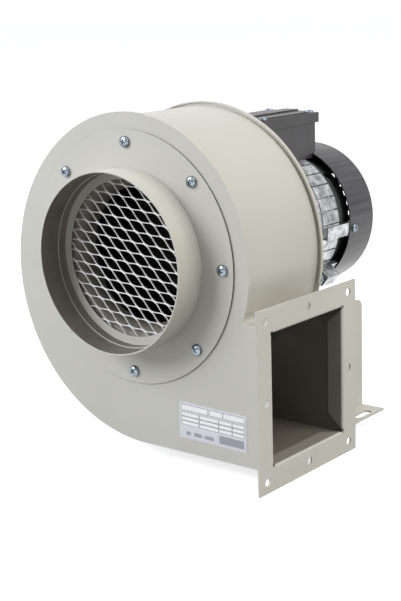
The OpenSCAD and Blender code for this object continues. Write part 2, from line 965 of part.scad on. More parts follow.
// Flattened expanded metal: lozenge openings in a staggered pattern
module guard_mesh() {
    half_l = mesh_long / 2;
    half_s = mesh_short / 2;
    middle_h = half_l * half_s / norm([half_l, half_s]);
    shrink = 1 - strand_w / 2 / middle_h;
    cols = ceil(spigot_r / half_l) + 1;
    rows = ceil(spigot_r / half_s) + 1;
    color("#E6E6E2")
    slab(mesh_y, ring_t)
    difference() {
        circle(mesh_r);
        intersection() {
            circle(mesh_r - mesh_border);
            rotate(mesh_turn)
            for (m = [-cols:cols])
                for (n = [-rows:rows])
                    if ((m + n) % 2 != 0
                        && norm([m * half_l + mesh_shift_x, n * half_s + mesh_shift_z]) < mesh_r)
                        translate([m * half_l + mesh_shift_x, n * half_s + mesh_shift_z])
                        polygon([
                            [half_l * shrink, 0], [0, half_s * shrink],
                            [-half_l * shrink, 0], [0, -half_s * shrink]
                        ]);
        }
    }
}

module inlet_cone() {
    bell_y = ring_t + bell_r;
    color("#77746C")
    turned() {
        translate([cone_mouth_r, ring_t])
        square([cone_flange_r - cone_mouth_r, cone_t]);
        intersection() {
            difference() {
                translate([cone_mouth_r, bell_y])
                circle(bell_r);
                translate([cone_mouth_r, bell_y])
                circle(bell_r - cone_t);
            }
            translate([throat_r, ring_t])
            square([bell_r, bell_r]);
        }
        translate([throat_r, bell_y])
        square([cone_t, cone_end_y - bell_y]);
    }
}

module inlet_screws() {
    color(zinc_colour)
    round_axis(ring_screws, screw_turn, screw_circle_r)
    pan_screw(m5_r, m5_head_r, m5_head_h, inlet_screw_len);
}

module inlet_nuts() {
    color(zinc_colour)
    round_axis(ring_screws, screw_turn, screw_circle_r)
    translate([0, plate_in, 0])
    nut(m5_flat, m5_r, m5_nut_h);
}

module rating_label() {
    color("#D8D9D8")
    slab(plate_y - label_t, plate_y)
    translate([label_x, -floor_drop + label_rise])
    rotate(label_turn)
    translate([-label_w / 2, -label_h / 2])
    round_rect(label_w, label_h, label_corner_r);
}

// Feet

module foot() {
    foot_h = foot_top_z - foot_base_z;
    difference() {
        union() {
            across(foot_in_x, foot_x) {
                translate([foot_y0, foot_base_z])
                square([foot_len, foot_h - foot_corner_r]);
                translate([foot_y0, foot_base_z])
                square([foot_len - foot_corner_r, foot_h]);
                translate([foot_y1 - foot_corner_r, foot_top_z - foot_corner_r])
                circle(foot_corner_r);
            }
            translate([foot_flange_x, foot_y0, foot_base_z])
            cube([foot_x - foot_flange_x, foot_t, foot_h]);
            translate([foot_in_x, foot_y0, foot_base_z])
            cube([foot_t + tab_w, foot_len, foot_t]);
            translate([foot_x - foot_cap_w, foot_y0, foot_top_z - foot_t])
            cube([foot_cap_w, foot_len - foot_corner_r, foot_t]);
        }
        for (y = [slot_y0, slot_y1])
            translate([slot_x, y, foot_base_z - cut])
            linear_extrude(foot_t + 2 * cut) {
                translate([-slot_w / 2, -slot_len / 2 + slot_w / 2])
                square([slot_w, slot_len - slot_w]);
                for (side = [-1, 1])
                    translate([0, side * (slot_len - slot_w) / 2])
                    circle(slot_w / 2);
            }
        for (z = [foot_bolt_z0, foot_bolt_z1])
            translate([foot_bolt_x, 0, z])
            disc(m6_r + hole_gap, foot_y0 - cut, foot_y0 + foot_t + cut);
    }
}

module foot_right() {
    color(casing_colour)
    foot();
}

module foot_left() {
    color(casing_colour)
    mirror([1, 0, 0])
    foot();
}

module foot_bolts() {
    color(zinc_colour)
    at_foot_bolts()
    translate([0, foot_y0 + foot_t, 0])
    rotate([0, 0, 180])
    hex_bolt(m6_flat, m6_head_h, m6_r, foot_bolt_len);
}

module foot_nuts() {
    color(zinc_colour)
    at_foot_bolts()
    translate([0, rear_in - m6_nut_h, 0])
    nut(m6_flat, m6_r, m6_nut_h);
}

// Impeller

module impeller_ring() {
    color(black_colour)
    slab(wheel_y0, blade_y0)
    difference() {
        circle(wheel_r);
        circle(eye_r);
    }
}

// One blade's outline: a single arc from its inner to its outer edge, leaning the way it turns
module blade_outline() {
    in_p = [blade_in_r, 0];
    out_p = [blade_out_r * cos(blade_lean), blade_out_r * sin(blade_lean)];
    chord = out_p - in_p;
    way = chord / norm(chord);
    rise = sqrt(pow(blade_curve_r, 2) - pow(norm(chord) / 2, 2));
    centre = (in_p + out_p) / 2 + rise * [-way[1], way[0]];
    intersection() {
        difference() {
            circle(blade_out_r);
            circle(blade_in_r);
        }
        difference() {
            translate(centre)
            circle(blade_curve_r + blade_t / 2);
            translate(centre)
            circle(blade_curve_r - blade_t / 2);
        }
        polygon([
            centre,
            centre + blade_reach_share * (in_p - centre) - chord / 2,
            centre + blade_reach_share * (out_p - centre) + chord / 2
        ]);
    }
}

module impeller_blades() {
    color(black_colour)
    slab(blade_y0, disc_y0)
    for (i = [0:blades - 1])
        rotate(i * 360 / blades)
        blade_outline();
}

module impeller_disc() {
    color(black_colour)
    slab(disc_y0, disc_y1)
    difference() {
        circle(wheel_r);
        circle(hub_r + seat_gap);
        hole_circle(rivets, 0, rivet_circle_r, rivet_r + seat_gap);
    }
}

module impeller_hub() {
    color(steel_colour)
    difference() {
        union() {
            disc(hub_r, hub_y0, hub_y1);
            disc(hub_flange_r, disc_y1, hub_back_y);
        }
        disc(shaft_r + seat_gap, hub_y0 - cut, hub_y1 + cut);
        translate([-key_w / 2 - seat_gap, hub_y0 - cut, 0])
        cube([key_w + 2 * seat_gap, hub_len + 2 * cut, key_out_r + seat_gap]);
        round_axis(rivets, 0, rivet_circle_r)
        disc(rivet_r + seat_gap, disc_y1 - cut, hub_back_y + cut);
    }
}

module hub_rivets() {
    color(steel_colour)
    round_axis(rivets, 0, rivet_circle_r) {
        disc(rivet_r, disc_y0, hub_back_y);
        translate([0, disc_y0, 0])
        rivet_head(rivet_head_r, rivet_head_h);
        translate([0, hub_back_y, 0])
        rotate([0, 0, 180])
        rivet_head(rivet_head_r, rivet_head_h);
    }
}

module end_bolt() {
    color(zinc_colour) {
        difference() {
            disc(end_washer_r, hub_y0 - end_washer_t, hub_y0);
            disc(m5_r + hole_gap, hub_y0 - end_washer_t - cut, hub_y0 + cut);
        }
        translate([0, hub_y0 - end_washer_t, 0])
        hex_bolt(m5_flat, m5_hex_h, m5_r, end_washer_t + hub_over + end_bolt_len);
    }
}

module shaft_key() {
    color(steel_colour)
    translate([-key_w / 2, key_y0, key_in_r])
    cube([key_w, key_len, key_h]);
}

// Motor, fixed parts

module motor_screws() {
    color(zinc_colour)
    round_axis(frame_screws, 45, motor_screw_circle)
    translate([0, rear_in - m8_washer_t, 0])
    hex_bolt(m8_flat, m8_head_h, m8_r, m8_len);
}

module motor_washers() {
    color(zinc_colour)
    slab(rear_in - m8_washer_t, rear_in)
    difference() {
        hole_circle(frame_screws, 45, motor_screw_circle, m8_washer_r);
        hole_circle(frame_screws, 45, motor_screw_circle, m8_r + hole_gap);
    }
}

module front_shield() {
    color(cast_colour)
    difference() {
        turned()
        polygon([
            [shaft_hole_r, pilot_y], [pilot_r, pilot_y], [pilot_r, motor_y],
            [motor_flange_r, motor_y], [motor_flange_r, motor_flange_y1],
            [frame_base_r, motor_flange_y1], [frame_base_r, frame_y0], [register_r, frame_y0],
            [register_r, frame_y0 + register_h], [register_in_r, frame_y0 + register_h],
            [register_in_r, front_web_y], [bearing_hub_r, front_web_y], [bearing_hub_r, frame_y0],
            [bearing_r, frame_y0], [bearing_r, front_bearing_y], [shaft_hole_r, front_bearing_y]
        ]);
        round_axis(frame_screws, 45, motor_screw_circle)
        disc(m8_r + thread_gap, motor_y - cut, motor_y + m8_hole_len);
        round_axis(frame_screws, 0, frame_screw_r) {
            disc(m5_r + hole_gap, motor_y, frame_y0 + cut);
            disc(m5_head_r + counterbore_gap, motor_y - cut, motor_y + frame_screw_seat);
        }
    }
}

module shield_screws_front() {
    color(zinc_colour)
    round_axis(frame_screws, 0, frame_screw_r)
    translate([0, motor_y + frame_screw_seat, 0])
    pan_screw(m5_r, m5_head_r, m5_head_h, frame_screw_len);
}

// One ring of a ball bearing, its inner radius in_r, between y0 and y0 + bearing_w
module bearing_ring(in_r, y0) {
    turned()
    difference() {
        translate([in_r, y0])
        square([race_t, bearing_w]);
        translate([ball_circle_r, y0 + bearing_w / 2])
        circle(ball_r + seat_gap);
    }
}

module bearing_balls(y0) {
    round_axis(balls, 0, ball_circle_r)
    translate([0, y0 + bearing_w / 2, 0])
    sphere(ball_r);
}

module front_bearing_outer() {
    color(steel_colour)
    bearing_ring(bearing_r - race_t, front_bearing_y);
}

module front_bearing_inner() {
    color(steel_colour)
    bearing_ring(bearing_bore_r, front_bearing_y);
}

module front_bearing_balls() {
    color(zinc_colour)
    bearing_balls(front_bearing_y);
}

module rear_bearing_outer() {
    color(steel_colour)
    bearing_ring(bearing_r - race_t, rear_bearing_y);
}

module rear_bearing_inner() {
    color(steel_colour)
    bearing_ring(bearing_bore_r, rear_bearing_y);
}

module rear_bearing_balls() {
    color(zinc_colour)
    bearing_balls(rear_bearing_y);
}

module wave_washer() {
    color(steel_colour)
    slab(wave_y, pocket_y1)
    difference() {
        circle(wave_out_r);
        circle(wave_in_r);
    }
}

// The frame's ring of cast pads, cut by grooves down to the base
module pad_ring() {
    difference() {
        union() {
            difference() {
                circle(frame_r);
                for (i = [0:pads - 1])
                    rotate(pad_turn + i * 360 / pads)
                    translate([frame_mid_r, -pad_gap / 2])
                    square([frame_r, pad_gap]);
            }
            circle(frame_base_r);
        }
        circle(frame_bore_r);
    }
}

module base_ring() {
    difference() {
        circle(frame_base_r);
        circle(frame_bore_r);
    }
}

// The cross section of the cowl's arms
module arm_outline(in_r) {
    intersection() {
        difference() {
            circle(arm_out_r);
            circle(in_r);
        }
        for (a = arm_turns)
            rotate(a)
            translate([0, -arm_w / 2])
            square([frame_r + arm_w, arm_w]);
    }
}

module motor_frame() {
    pitch = pad_len + pad_gap;
    rows = ceil(frame_len / pitch);
    color(cast_colour)
    difference() {
        union() {
            slab(frame_y0, frame_y1)
            base_ring();
            for (k = [0:rows - 1]) {
                row_y1 = frame_y1 - k * pitch;
                row_y0 = max(frame_y0, row_y1 - pad_len);
                if (row_y1 > frame_y0)
                    slab(row_y0, row_y1)
                    pad_ring();
            }
            slab(arm_y0, frame_y1)
            arm_outline(frame_mid_r);
            slab(frame_y1, arm_y1)
            arm_outline(arm_in_r);
            polar(0, lug_turn) {
                translate([frame_mid_r, lug_y0, -lug_w / 2])
                cube([lug_r - frame_mid_r, frame_y1 - lug_y0, lug_w]);
                translate([arm_in_r, frame_y1, -lug_w / 2])
                cube([lug_low_r - arm_in_r, lug_y1 - frame_y1, lug_w]);
            }
        }
        round_axis(frame_screws, 0, frame_screw_r)
        disc(m5_r + thread_gap, frame_y0 - cut, frame_y0 + frame_tap_len);
        round_axis(frame_screws, 45, rear_screw_r)
        disc(m4_r + thread_gap, frame_y1 - rear_tap_len, frame_y1 + cut);
        for (a = arm_turns)
            polar(frame_r, a)
            translate([-cut, cowl_screw_y, 0])
            rotate([0, 90, 0])
            cylinder(h = cowl_r - frame_r + cut, r = m4_r + thread_gap);
        polar(lug_bolt_r, lug_turn)
        disc(m6_r + thread_gap, lug_y0 - cut, lug_y0 + lug_tap_len);
        translate([0, lead_y, 0])
        cylinder(h = frame_r + cut, r = lead_hole_r);
        for (y = [box_screw_y0, box_screw_y1])
            translate([0, y, frame_r - box_tap_len])
            cylinder(h = box_tap_len + cut, r = m4_r + thread_gap);
    }
}

module rear_shield() {
    color("#3C3F3E")
    difference() {
        turned()
        polygon([
            [shaft_hole_r, pocket_y1], [shaft_hole_r, rear_shield_y1],
            [rear_shield_end_r, rear_shield_y1], [rear_shield_r, frame_y1], [register_r, frame_y1],
            [register_r, frame_y1 - register_h], [register_in_r, frame_y1 - register_h],
            [register_in_r, rear_web_y], [bearing_hub_r, rear_web_y],
            [bearing_hub_r, rear_bearing_y], [bearing_r, rear_bearing_y], [bearing_r, pocket_y1]
        ]);
        round_axis(frame_screws, 45, rear_screw_r) {
            disc(m4_r + hole_gap, frame_y1 - cut, rear_shield_y1);
            disc(m4_head_r + counterbore_gap, frame_y1 + rear_screw_seat, rear_shield_y1 + cut);
        }
    }
}

module shield_screws_rear() {
    color(zinc_colour)
    round_axis(frame_screws, 45, rear_screw_r)
    translate([0, frame_y1 + rear_screw_seat, 0])
    rotate([0, 0, 180])
    pan_screw(m4_r, m4_head_r, m4_head_h, rear_screw_len);
}

module earth_bolt() {
    color(zinc_colour)
    polar(lug_bolt_r, lug_turn)
    translate([0, lug_y0, 0])
    hex_bolt(m6_flat, m6_head_h, m6_r, lug_bolt_len);
}

// A slot of the stator without its mouth, drawn smaller by gap
module slot_body(gap) {
    translate([slot_in_r + gap, -slot_body_w / 2 + gap])
    square([slot_end_r - slot_in_r - gap, slot_body_w - 2 * gap]);
    translate([slot_end_r, 0])
    circle(slot_body_w / 2 - gap);
}

module stator_core() {
    color("#8E9194")
    slab(core_y0, core_y1)
    difference() {
        circle(frame_bore_r - seat_gap);
        circle(stator_in_r);
        for (i = [0:slots - 1])
            rotate(i * 360 / slots) {
                slot_body(0);
                translate([rotor_r, -slot_mouth_w / 2])
                square([slot_in_r - rotor_r + cut, slot_mouth_w]);
            }
    }
}

module stator_winding() {
    color("#B5652B") {
        slab(core_y0 - head_round_r, core_y1 + head_round_r)
        for (i = [0:slots - 1])
            rotate(i * 360 / slots)
            slot_body(seat_gap);
        turned()
        for (y = [core_y0 - head_len, core_y1])
            translate([head_in_r, y])
            round_rect(head_out_r - head_in_r, head_len, head_round_r);
    }
}

module terminal_base() {
    translate([block_x0, block_y0, box_floor_z])
    cube([block_w, block_len, block_h]);
}

// The places of the studs on the terminal block's top
module at_studs() {
    for (x = [block_w / 4, block_w * 3 / 4])
        for (i = [0:stud_rows - 1])
            translate([block_x0 + x, block_y0 + (i + 1 / 2) * block_len / stud_rows, block_top])
            children();
}

module terminal_block() {
    color("#1F2022")
    difference() {
        terminal_base();
        at_studs()
        translate([0, 0, -stud_sunk])
        cylinder(h = stud_sunk + cut, r = stud_r + thread_gap);
    }
}

module terminal_studs() {
    color("#C9A44A")
    at_studs() {
        translate([0, 0, -stud_sunk])
        cylinder(h = stud_len, r = stud_r);
        difference() {
            cylinder(h = stud_nut_h, r = stud_flat / cos(180 / hex_sides), $fn = hex_sides);
            translate([0, 0, -cut])
            cylinder(h = stud_nut_h + 2 * cut, r = stud_r + thread_gap);
        }
    }
}

module run_capacitor() {
    color("#DADCD8")
    translate([capacitor_x, 0, capacitor_z]) {
        disc(capacitor_r, capacitor_y0, capacitor_y0 + capacitor_len);
        disc(capacitor_r - capacitor_step, capacitor_y0 + capacitor_len,
            capacitor_y0 + capacitor_len + capacitor_cap_h);
    }
}

module capacitor_clip() {
    color(zinc_colour)
    slab(strap_y0, strap_y0 + strap_w)
    difference() {
        union() {
            translate([capacitor_x, capacitor_z])
            circle(strap_out_r);
            translate([capacitor_x - strap_foot_w, box_floor_z])
            square([2 * strap_foot_w, strap_t]);
        }
        translate([capacitor_x, capacitor_z])
        circle(capacitor_r + seat_gap);
    }
}

// Cooling fan and cowl

// A cup's half section: straight wall, rounded edge and flat back
module cup_section(r, y0, y1, edge_r) {
    translate([0, y0])
    square([r, y1 - y0 - edge_r]);
    translate([0, y0])
    square([r - edge_r, y1 - y0]);
    translate([r - edge_r, y1 - edge_r])
    circle(edge_r);
}

module fan_cowl() {
    color(dark_colour)
    difference() {
        turned()
        difference() {
            cup_section(cowl_r, cowl_y0, cowl_y1, cowl_edge_r);
            cup_section(cowl_in_r, cowl_y0 - cut, cowl_y1 - cowl_t, cowl_edge_r - cowl_t);
        }
        slab(cowl_y1 - cowl_t - cut, cowl_y1 + cut)
        for (k = [1:vent_rings])
            hole_circle(6 * k, 0, vent_first_r + (k - 1) * vent_pitch, vent_r);
        for (a = arm_turns)
            polar(frame_r, a)
            translate([0, cowl_screw_y, 0])
            rotate([0, 90, 0])
            cylinder(h = cowl_r - frame_r + cut, r = m4_r + hole_gap);
    }
}

module cowl_screws() {
    color(zinc_colour)
    for (a = arm_turns)
        polar(cowl_r, a)
        translate([0, cowl_screw_y, 0])
        rotate([0, 0, 90])
        pan_screw(m4_r, m4_head_r, m4_head_h, cowl_screw_len);
}

module cooling_fan() {
    color("#3A3B3D")
    difference() {
        union() {
            disc(fan_hub_r, fan_y0, fan_hub_y1);
            disc(fan_r, fan_y0, fan_y0 + fan_disc_t);
            round_axis(fan_blades, 0, fan_blade_in_r)
            translate([0, fan_y0, -fan_blade_t / 2])
            cube([fan_r - fan_blade_in_r - fan_blade_inset, fan_blade_h, fan_blade_t]);
        }
        disc(fan_shaft_r + seat_gap, fan_y0 - cut, fan_hub_y1 + cut);
    }
}

module fan_circlip() {
    color(steel_colour)
    slab(clip_y0, clip_y0 + clip_t)
    difference() {
        circle(clip_r);
        circle(clip_in_r);
        translate([0, -clip_open / 2])
        square([clip_r + cut, clip_open]);
    }
}

// Terminal box

// The box's posts for the lid screws
module lid_posts() {
    at_lid_screws()
    circle(lid_post_r);
}

module at_lid_screws() {
    for (side = [-1, 1])
        for (y = [lid_screw_y0, lid_screw_y1])
            translate([side * lid_screw_x, y])
            children();
}

// The hollow of the box and its lid, seen from above
module box_hollow() {
    difference() {
        translate([-box_in_half, box_in_y0])
        square([2 * box_in_half, box_in_y1 - box_in_y0]);
        lid_posts();
    }
}

module box_body() {
    color(dark_colour)
    difference() {
        translate([-box_half_w, box_y0, saddle_z])
        cube([2 * box_half_w, box_y1 - box_y0, box_top - saddle_z]);
        disc(frame_r, box_y0 - cut, box_y1 + cut);
        disc(cowl_r + cowl_clear, cowl_y0 - run_gap, box_y1 + cut);
        translate([0, 0, box_floor_z])
        linear_extrude(box_top - box_floor_z + cut)
        box_hollow();
        translate([0, 0, box_top - lid_tap_len])
        linear_extrude(lid_tap_len + cut)
        at_lid_screws()
        circle(m4_r + thread_gap);
        translate([0, lead_y, 0])
        cylinder(h = box_floor_z + cut, r = lead_hole_r);
        for (y = [box_screw_y0, box_screw_y1])
            translate([0, y, 0])
            cylinder(h = box_floor_z + cut, r = m4_r + hole_gap);
        translate([-box_half_w - cut, gland_y, gland_z])
        rotate([0, 90, 0])
        cylinder(h = box_wall + 2 * cut, r = gland_thread_r + hole_gap);
    }
}

module box_gasket() {
    color("#202123")
    translate([0, 0, box_top])
    linear_extrude(gasket_t)
    difference() {
        translate([-box_half_w, box_y0])
        square([2 * box_half_w, box_y1 - box_y0]);
        box_hollow();
        at_lid_screws()
        circle(m4_r + hole_gap);
    }
}

module box_lid() {
    panel_half_w = lid_half_w - panel_inset;
    color(dark_colour)
    difference() {
        union() {
            translate([-lid_half_w, lid_y0, lid_low_z])
            cube([2 * lid_half_w, lid_len, lid_h]);
            translate([0, 0, lid_top])
            linear_extrude(panel_h)
            difference() {
                translate([-panel_half_w, lid_y0 + panel_inset])
                square([2 * panel_half_w, lid_len - 2 * panel_inset]);
                at_lid_screws()
                circle(m4_head_r + panel_clear);
            }
            translate([-crest_half_w, lid_y0 + panel_inset, lid_top])
            cube([2 * crest_half_w, lid_len - 2 * panel_inset, panel_h + crest_h]);
        }
        translate([-box_half_w - run_gap, box_y0 - run_gap, lid_low_z - cut])
        cube([
            2 * box_half_w + 2 * run_gap, box_y1 - box_y0 + 2 * run_gap,
            gasket_top - lid_low_z + cut
        ]);
        translate([0, 0, lid_low_z])
        linear_extrude(lid_h - lid_skin)
        box_hollow();
        translate([0, 0, lid_low_z])
        linear_extrude(lid_h + panel_h + cut)
        at_lid_screws()
        circle(m4_r + hole_gap);
    }
}

module lid_screws() {
    color(zinc_colour)
    for (side = [-1, 1])
        for (y = [lid_screw_y0, lid_screw_y1])
            translate([side * lid_screw_x, y, lid_top])
            rotate([-90, 0, 0])
            pan_screw(m4_r, m4_head_r, m4_head_h, lid_screw_len);
}

module box_screws() {
    color(zinc_colour)
    for (y = [box_screw_y0, box_screw_y1])
        translate([0, y, box_floor_z])
        rotate([-90, 0, 0])
        pan_screw(m4_r, m4_head_r, m4_head_h, box_screw_len);
}

// The gland's parts are drawn along Z, outwards from the box's wall
module at_gland() {
    translate([-box_half_w, gland_y, gland_z])
    rotate([0, -90, 0])
    rotate(180 / hex_sides)
    children();
}

module cable_gland() {
    inside = box_wall + gland_inside;
    outside = gland_flange_t + gland_neck_len;
    color("#2C2D30")
    at_gland()
    difference() {
        union() {
            translate([0, 0, -inside])
            cylinder(h = inside, r = gland_thread_r);
            cylinder(h = gland_flange_t, r = gland_corner_r, $fn = hex_sides);
            translate([0, 0, gland_flange_t])
            cylinder(h = gland_neck_len, r = gland_neck_r);
        }
        translate([0, 0, -inside - cut])
        cylinder(h = inside + outside + 2 * cut, r = gland_bore_r);
    }
}

module gland_nuts() {
    cap_z = gland_flange_t + gland_cap_gap;
    color("#2C2D30")
    at_gland() {
        translate([0, 0, -box_wall - gland_nut_t])
        difference() {
            cylinder(h = gland_nut_t, r = gland_corner_r, $fn = hex_sides);
            translate([0, 0, -cut])
            cylinder(h = gland_nut_t + 2 * cut, r = gland_thread_r + thread_gap);
        }
        translate([0, 0, cap_z])
        difference() {
            intersection() {
                cylinder(h = gland_cap_len, r = gland_corner_r, $fn = hex_sides);
                rotate_extrude()
                polygon([
                    [0, 0], [gland_corner_r + cut, 0], [gland_corner_r + cut, gland_cap_hex],
                    [gland_cap_out_r, gland_cap_len], [0, gland_cap_len]
                ]);
            }
            translate([0, 0, -cut])
            cylinder(h = gland_cap_len - gland_cap_end + cut, r = gland_neck_r + thread_gap);
            translate([0, 0, -cut])
            cylinder(h = gland_cap_len + 2 * cut, r = gland_bore_r);
        }
    }
}

// Rotor

module motor_shaft() {
    color(steel_colour)
    difference() {
        turned()
        polygon([
            [0, shaft_tip_y], [shaft_r, shaft_tip_y], [shaft_r, shoulder_y],
            [bearing_bore_r, shoulder_y], [bearing_bore_r, frame_y0], [rotor_shaft_r, frame_y0],
            [rotor_shaft_r, rear_bearing_y], [bearing_bore_r, rear_bearing_y],
            [bearing_bore_r, wave_y + seat_end], [fan_shaft_r, wave_y + seat_end],
            [fan_shaft_r, clip_y0], [clip_in_r, clip_y0], [clip_in_r, clip_y0 + clip_t],
            [fan_shaft_r, clip_y0 + clip_t], [fan_shaft_r, shaft_end_y], [0, shaft_end_y]
        ]);
        disc(m5_r + thread_gap, shaft_tip_y - cut, shaft_tip_y + end_hole_len);
        translate([-key_w / 2 - seat_gap, key_y0 - seat_gap, key_in_r])
        cube([key_w + 2 * seat_gap, key_len + 2 * seat_gap, key_h]);
    }
}

module rotor_core() {
    color("#8E9194")
    slab(core_y0, core_y1)
    difference() {
        circle(rotor_r);
        circle(rotor_shaft_r);
    }
}

module rotor_cage() {
    color("#C4C7CA")
    for (y = [core_y0 - cage_len, core_y1])
        slab(y, y + cage_len)
        difference() {
            circle(cage_out_r);
            circle(cage_in_r);
        }
}

module shaft_seal() {
    color("#1C1D1F")
    turned()
    polygon([
        [shaft_r, seal_y0], [seal_r, seal_y0], [seal_r, seal_y1 - seal_lip],
        [seal_lip_r, seal_y1], [seal_r, seal_y1], [shaft_r, seal_y1 - seal_lip]
    ]);
}

front_plate();
rear_plate();
scroll_wrap();
outlet_flange();
inlet_ring();
inlet_spigot();
guard_frame();
guard_mesh();
inlet_cone();
inlet_screws();
inlet_nuts();
rating_label();
foot_right();
foot_left();
foot_bolts();
foot_nuts();
motor_screws();
motor_washers();
front_shield();
shaft_seal();
front_bearing_outer();
front_bearing_balls();
front_bearing_inner();
motor_frame();
stator_core();
stator_winding();
rotor_core();
rotor_cage();
motor_shaft();
rear_bearing_outer();
rear_bearing_balls();
rear_bearing_inner();
wave_washer();
rear_shield();
shield_screws_front();
shield_screws_rear();
earth_bolt();
cooling_fan();
fan_circlip();
fan_cowl();
cowl_screws();
box_body();
box_gasket();
box_lid();
lid_screws();
box_screws();
terminal_block();
terminal_studs();
run_capacitor();
capacitor_clip();
cable_gland();
gland_nuts();
impeller_disc();
impeller_ring();
impeller_blades();
impeller_hub();
hub_rivets();
end_bolt();
shaft_key();
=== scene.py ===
"""Looks of a centrifugal blower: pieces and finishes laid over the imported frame."""

import json
import math

import bpy
from bpy.props import FloatProperty, FloatVectorProperty, IntProperty, PointerProperty
from mathutils import Matrix, Vector

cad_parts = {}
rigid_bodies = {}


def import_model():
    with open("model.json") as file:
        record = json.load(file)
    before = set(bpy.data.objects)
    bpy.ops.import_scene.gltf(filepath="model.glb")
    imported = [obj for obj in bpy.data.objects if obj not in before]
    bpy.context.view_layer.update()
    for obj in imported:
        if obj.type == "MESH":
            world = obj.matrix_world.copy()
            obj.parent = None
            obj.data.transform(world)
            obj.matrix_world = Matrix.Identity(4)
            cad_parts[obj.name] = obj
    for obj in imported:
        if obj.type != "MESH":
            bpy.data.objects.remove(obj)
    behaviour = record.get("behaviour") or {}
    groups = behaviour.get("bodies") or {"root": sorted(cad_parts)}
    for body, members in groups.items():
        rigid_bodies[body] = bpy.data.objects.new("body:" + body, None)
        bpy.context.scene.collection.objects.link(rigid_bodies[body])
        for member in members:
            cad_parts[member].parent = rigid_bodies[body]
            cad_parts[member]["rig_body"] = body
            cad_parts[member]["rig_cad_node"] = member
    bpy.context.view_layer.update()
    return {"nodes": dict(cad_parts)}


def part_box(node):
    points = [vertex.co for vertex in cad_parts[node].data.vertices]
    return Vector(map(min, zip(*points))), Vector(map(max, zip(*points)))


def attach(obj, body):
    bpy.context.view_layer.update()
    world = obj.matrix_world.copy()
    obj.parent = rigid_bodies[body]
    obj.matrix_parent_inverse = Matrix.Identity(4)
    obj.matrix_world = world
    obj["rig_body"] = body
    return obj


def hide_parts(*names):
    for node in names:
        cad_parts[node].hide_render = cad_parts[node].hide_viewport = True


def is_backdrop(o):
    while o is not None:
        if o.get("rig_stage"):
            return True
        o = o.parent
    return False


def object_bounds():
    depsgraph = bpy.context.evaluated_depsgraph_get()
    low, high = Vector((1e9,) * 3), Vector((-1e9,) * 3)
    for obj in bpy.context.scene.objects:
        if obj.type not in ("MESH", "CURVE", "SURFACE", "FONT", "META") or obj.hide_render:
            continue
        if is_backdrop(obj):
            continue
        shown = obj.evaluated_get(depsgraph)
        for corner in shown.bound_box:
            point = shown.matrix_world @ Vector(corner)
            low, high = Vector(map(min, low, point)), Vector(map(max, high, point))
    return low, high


bl_info = {
    "name": "Centrifugal blower",
    "version": (1, 0, 0),
    "blender": (4, 5, 0),
    "location": "3D View > Sidebar > Blower",
    "description": "Dresses the blower's frame with detailed pieces and finishes",
    "category": "Object",
}

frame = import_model()
MM = 0.001

# The casing as the part's source draws it, in millimetres: the middle line of the wrap and the duct, the
# outlet's opening and the foot bolts
ROUND_RADIUS = 122.4
SPIRAL_RADIUS = 143.9
SPIRAL_CENTRE = (9.09, -19.49)
SPIRAL_START = math.radians(115)
DUCT_X = (9.0, 146.0)
DUCT_Y = (2.1, 111.4)
DUCT_Z = (-163.4, -46.4)
OPENING_Y = (3.9, 109.6)
OPENING_Z = (-161.6, -48.2)
FOOT_BOLT_X = 64.6
FOOT_BOLTS_Z = (-82, -132)

# Sockets of a colour Mix node, which has others of the same names
FACTOR, FIRST, SECOND = 0, 6, 7


def span(node):
    """A node's lowest and highest corner in millimetres."""
    return [[v / MM for v in corner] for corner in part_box(node)]


# Colours and nodes


def linear(hex_colour):
    """An sRGB hex colour as linear red, green, blue and alpha."""
    levels = [int(hex_colour[i : i + 2], 16) / 255 for i in (1, 3, 5)]
    return tuple(v / 12.92 if v <= 0.04045 else ((v + 0.055) / 1.055) ** 2.4 for v in levels) + (1.0,)


def add(tree, kind, sockets=None, **settings):
    """Adds a node, with its settings, and its sockets given a value or linked to another node's output."""
    made = tree.nodes.new(kind)
    for key, value in settings.items():
        setattr(made, key, value)
    for key, value in (sockets or {}).items():
        if isinstance(value, bpy.types.NodeSocket):
            tree.links.new(value, made.inputs[key])
        else:
            made.inputs[key].default_value = value
    return made


def finish(
    name,
    tone,
    shade,
    roughness,
    spread=0.08,
    metallic=0.0,
    spot_mm=40.0,
    grain_mm=1.2,
    relief_mm=0.02,
    stretch=(1, 1, 1),
):
    """A surface of two tones in spots of spot_mm, with a grain of grain_mm that is relief_mm deep."""
    material = bpy.data.materials.new(name)
    material.use_nodes = True
    tree = material.node_tree
    tree.nodes.clear()
    object_place = add(tree, "ShaderNodeTexCoord").outputs["Object"]
    place = add(tree, "ShaderNodeMapping", {"Vector": object_place, "Scale": stretch})
    vector = place.outputs["Vector"]
    spots = add(
        tree,
        "ShaderNodeTexNoise",
        {"Vector": vector, "Scale": per_metre(spot_mm), "Detail": 3.0, "Roughness": 0.6},
    ).outputs["Fac"]
    grain = add(
        tree,
        "ShaderNodeTexNoise",
        {"Vector": vector, "Scale": per_metre(grain_mm), "Detail": 2.0},
    ).outputs["Fac"]
    share = stepped(tree, spots, 0.3, 0.7)
    mixed = add(
        tree,
        "ShaderNodeMix",
        {FACTOR: share, FIRST: linear(tone), SECOND: linear(shade)},
        data_type="RGBA",
    )
    smoothest, roughest = roughness - spread / 2, roughness + spread / 2
    rough = add(tree, "ShaderNodeMapRange", {"Value": grain, "To Min": smoothest, "To Max": roughest})
    bump = add(tree, "ShaderNodeBump", {"Height": grain, "Strength": 0.6, "Distance": relief_mm * MM})
    skin = add(
        tree,
        "ShaderNodeBsdfPrincipled",
        {
            "Base Color": mixed.outputs[2],
            "Roughness": rough.outputs[0],
            "Normal": bump.outputs[0],
            "Metallic": metallic,
        },
    )
    add(tree, "ShaderNodeOutputMaterial", {"Surface": skin.outputs[0]})
    material["parts"] = {"vector": place.name, "skin": skin.name, "bump": bump.name}
    return material


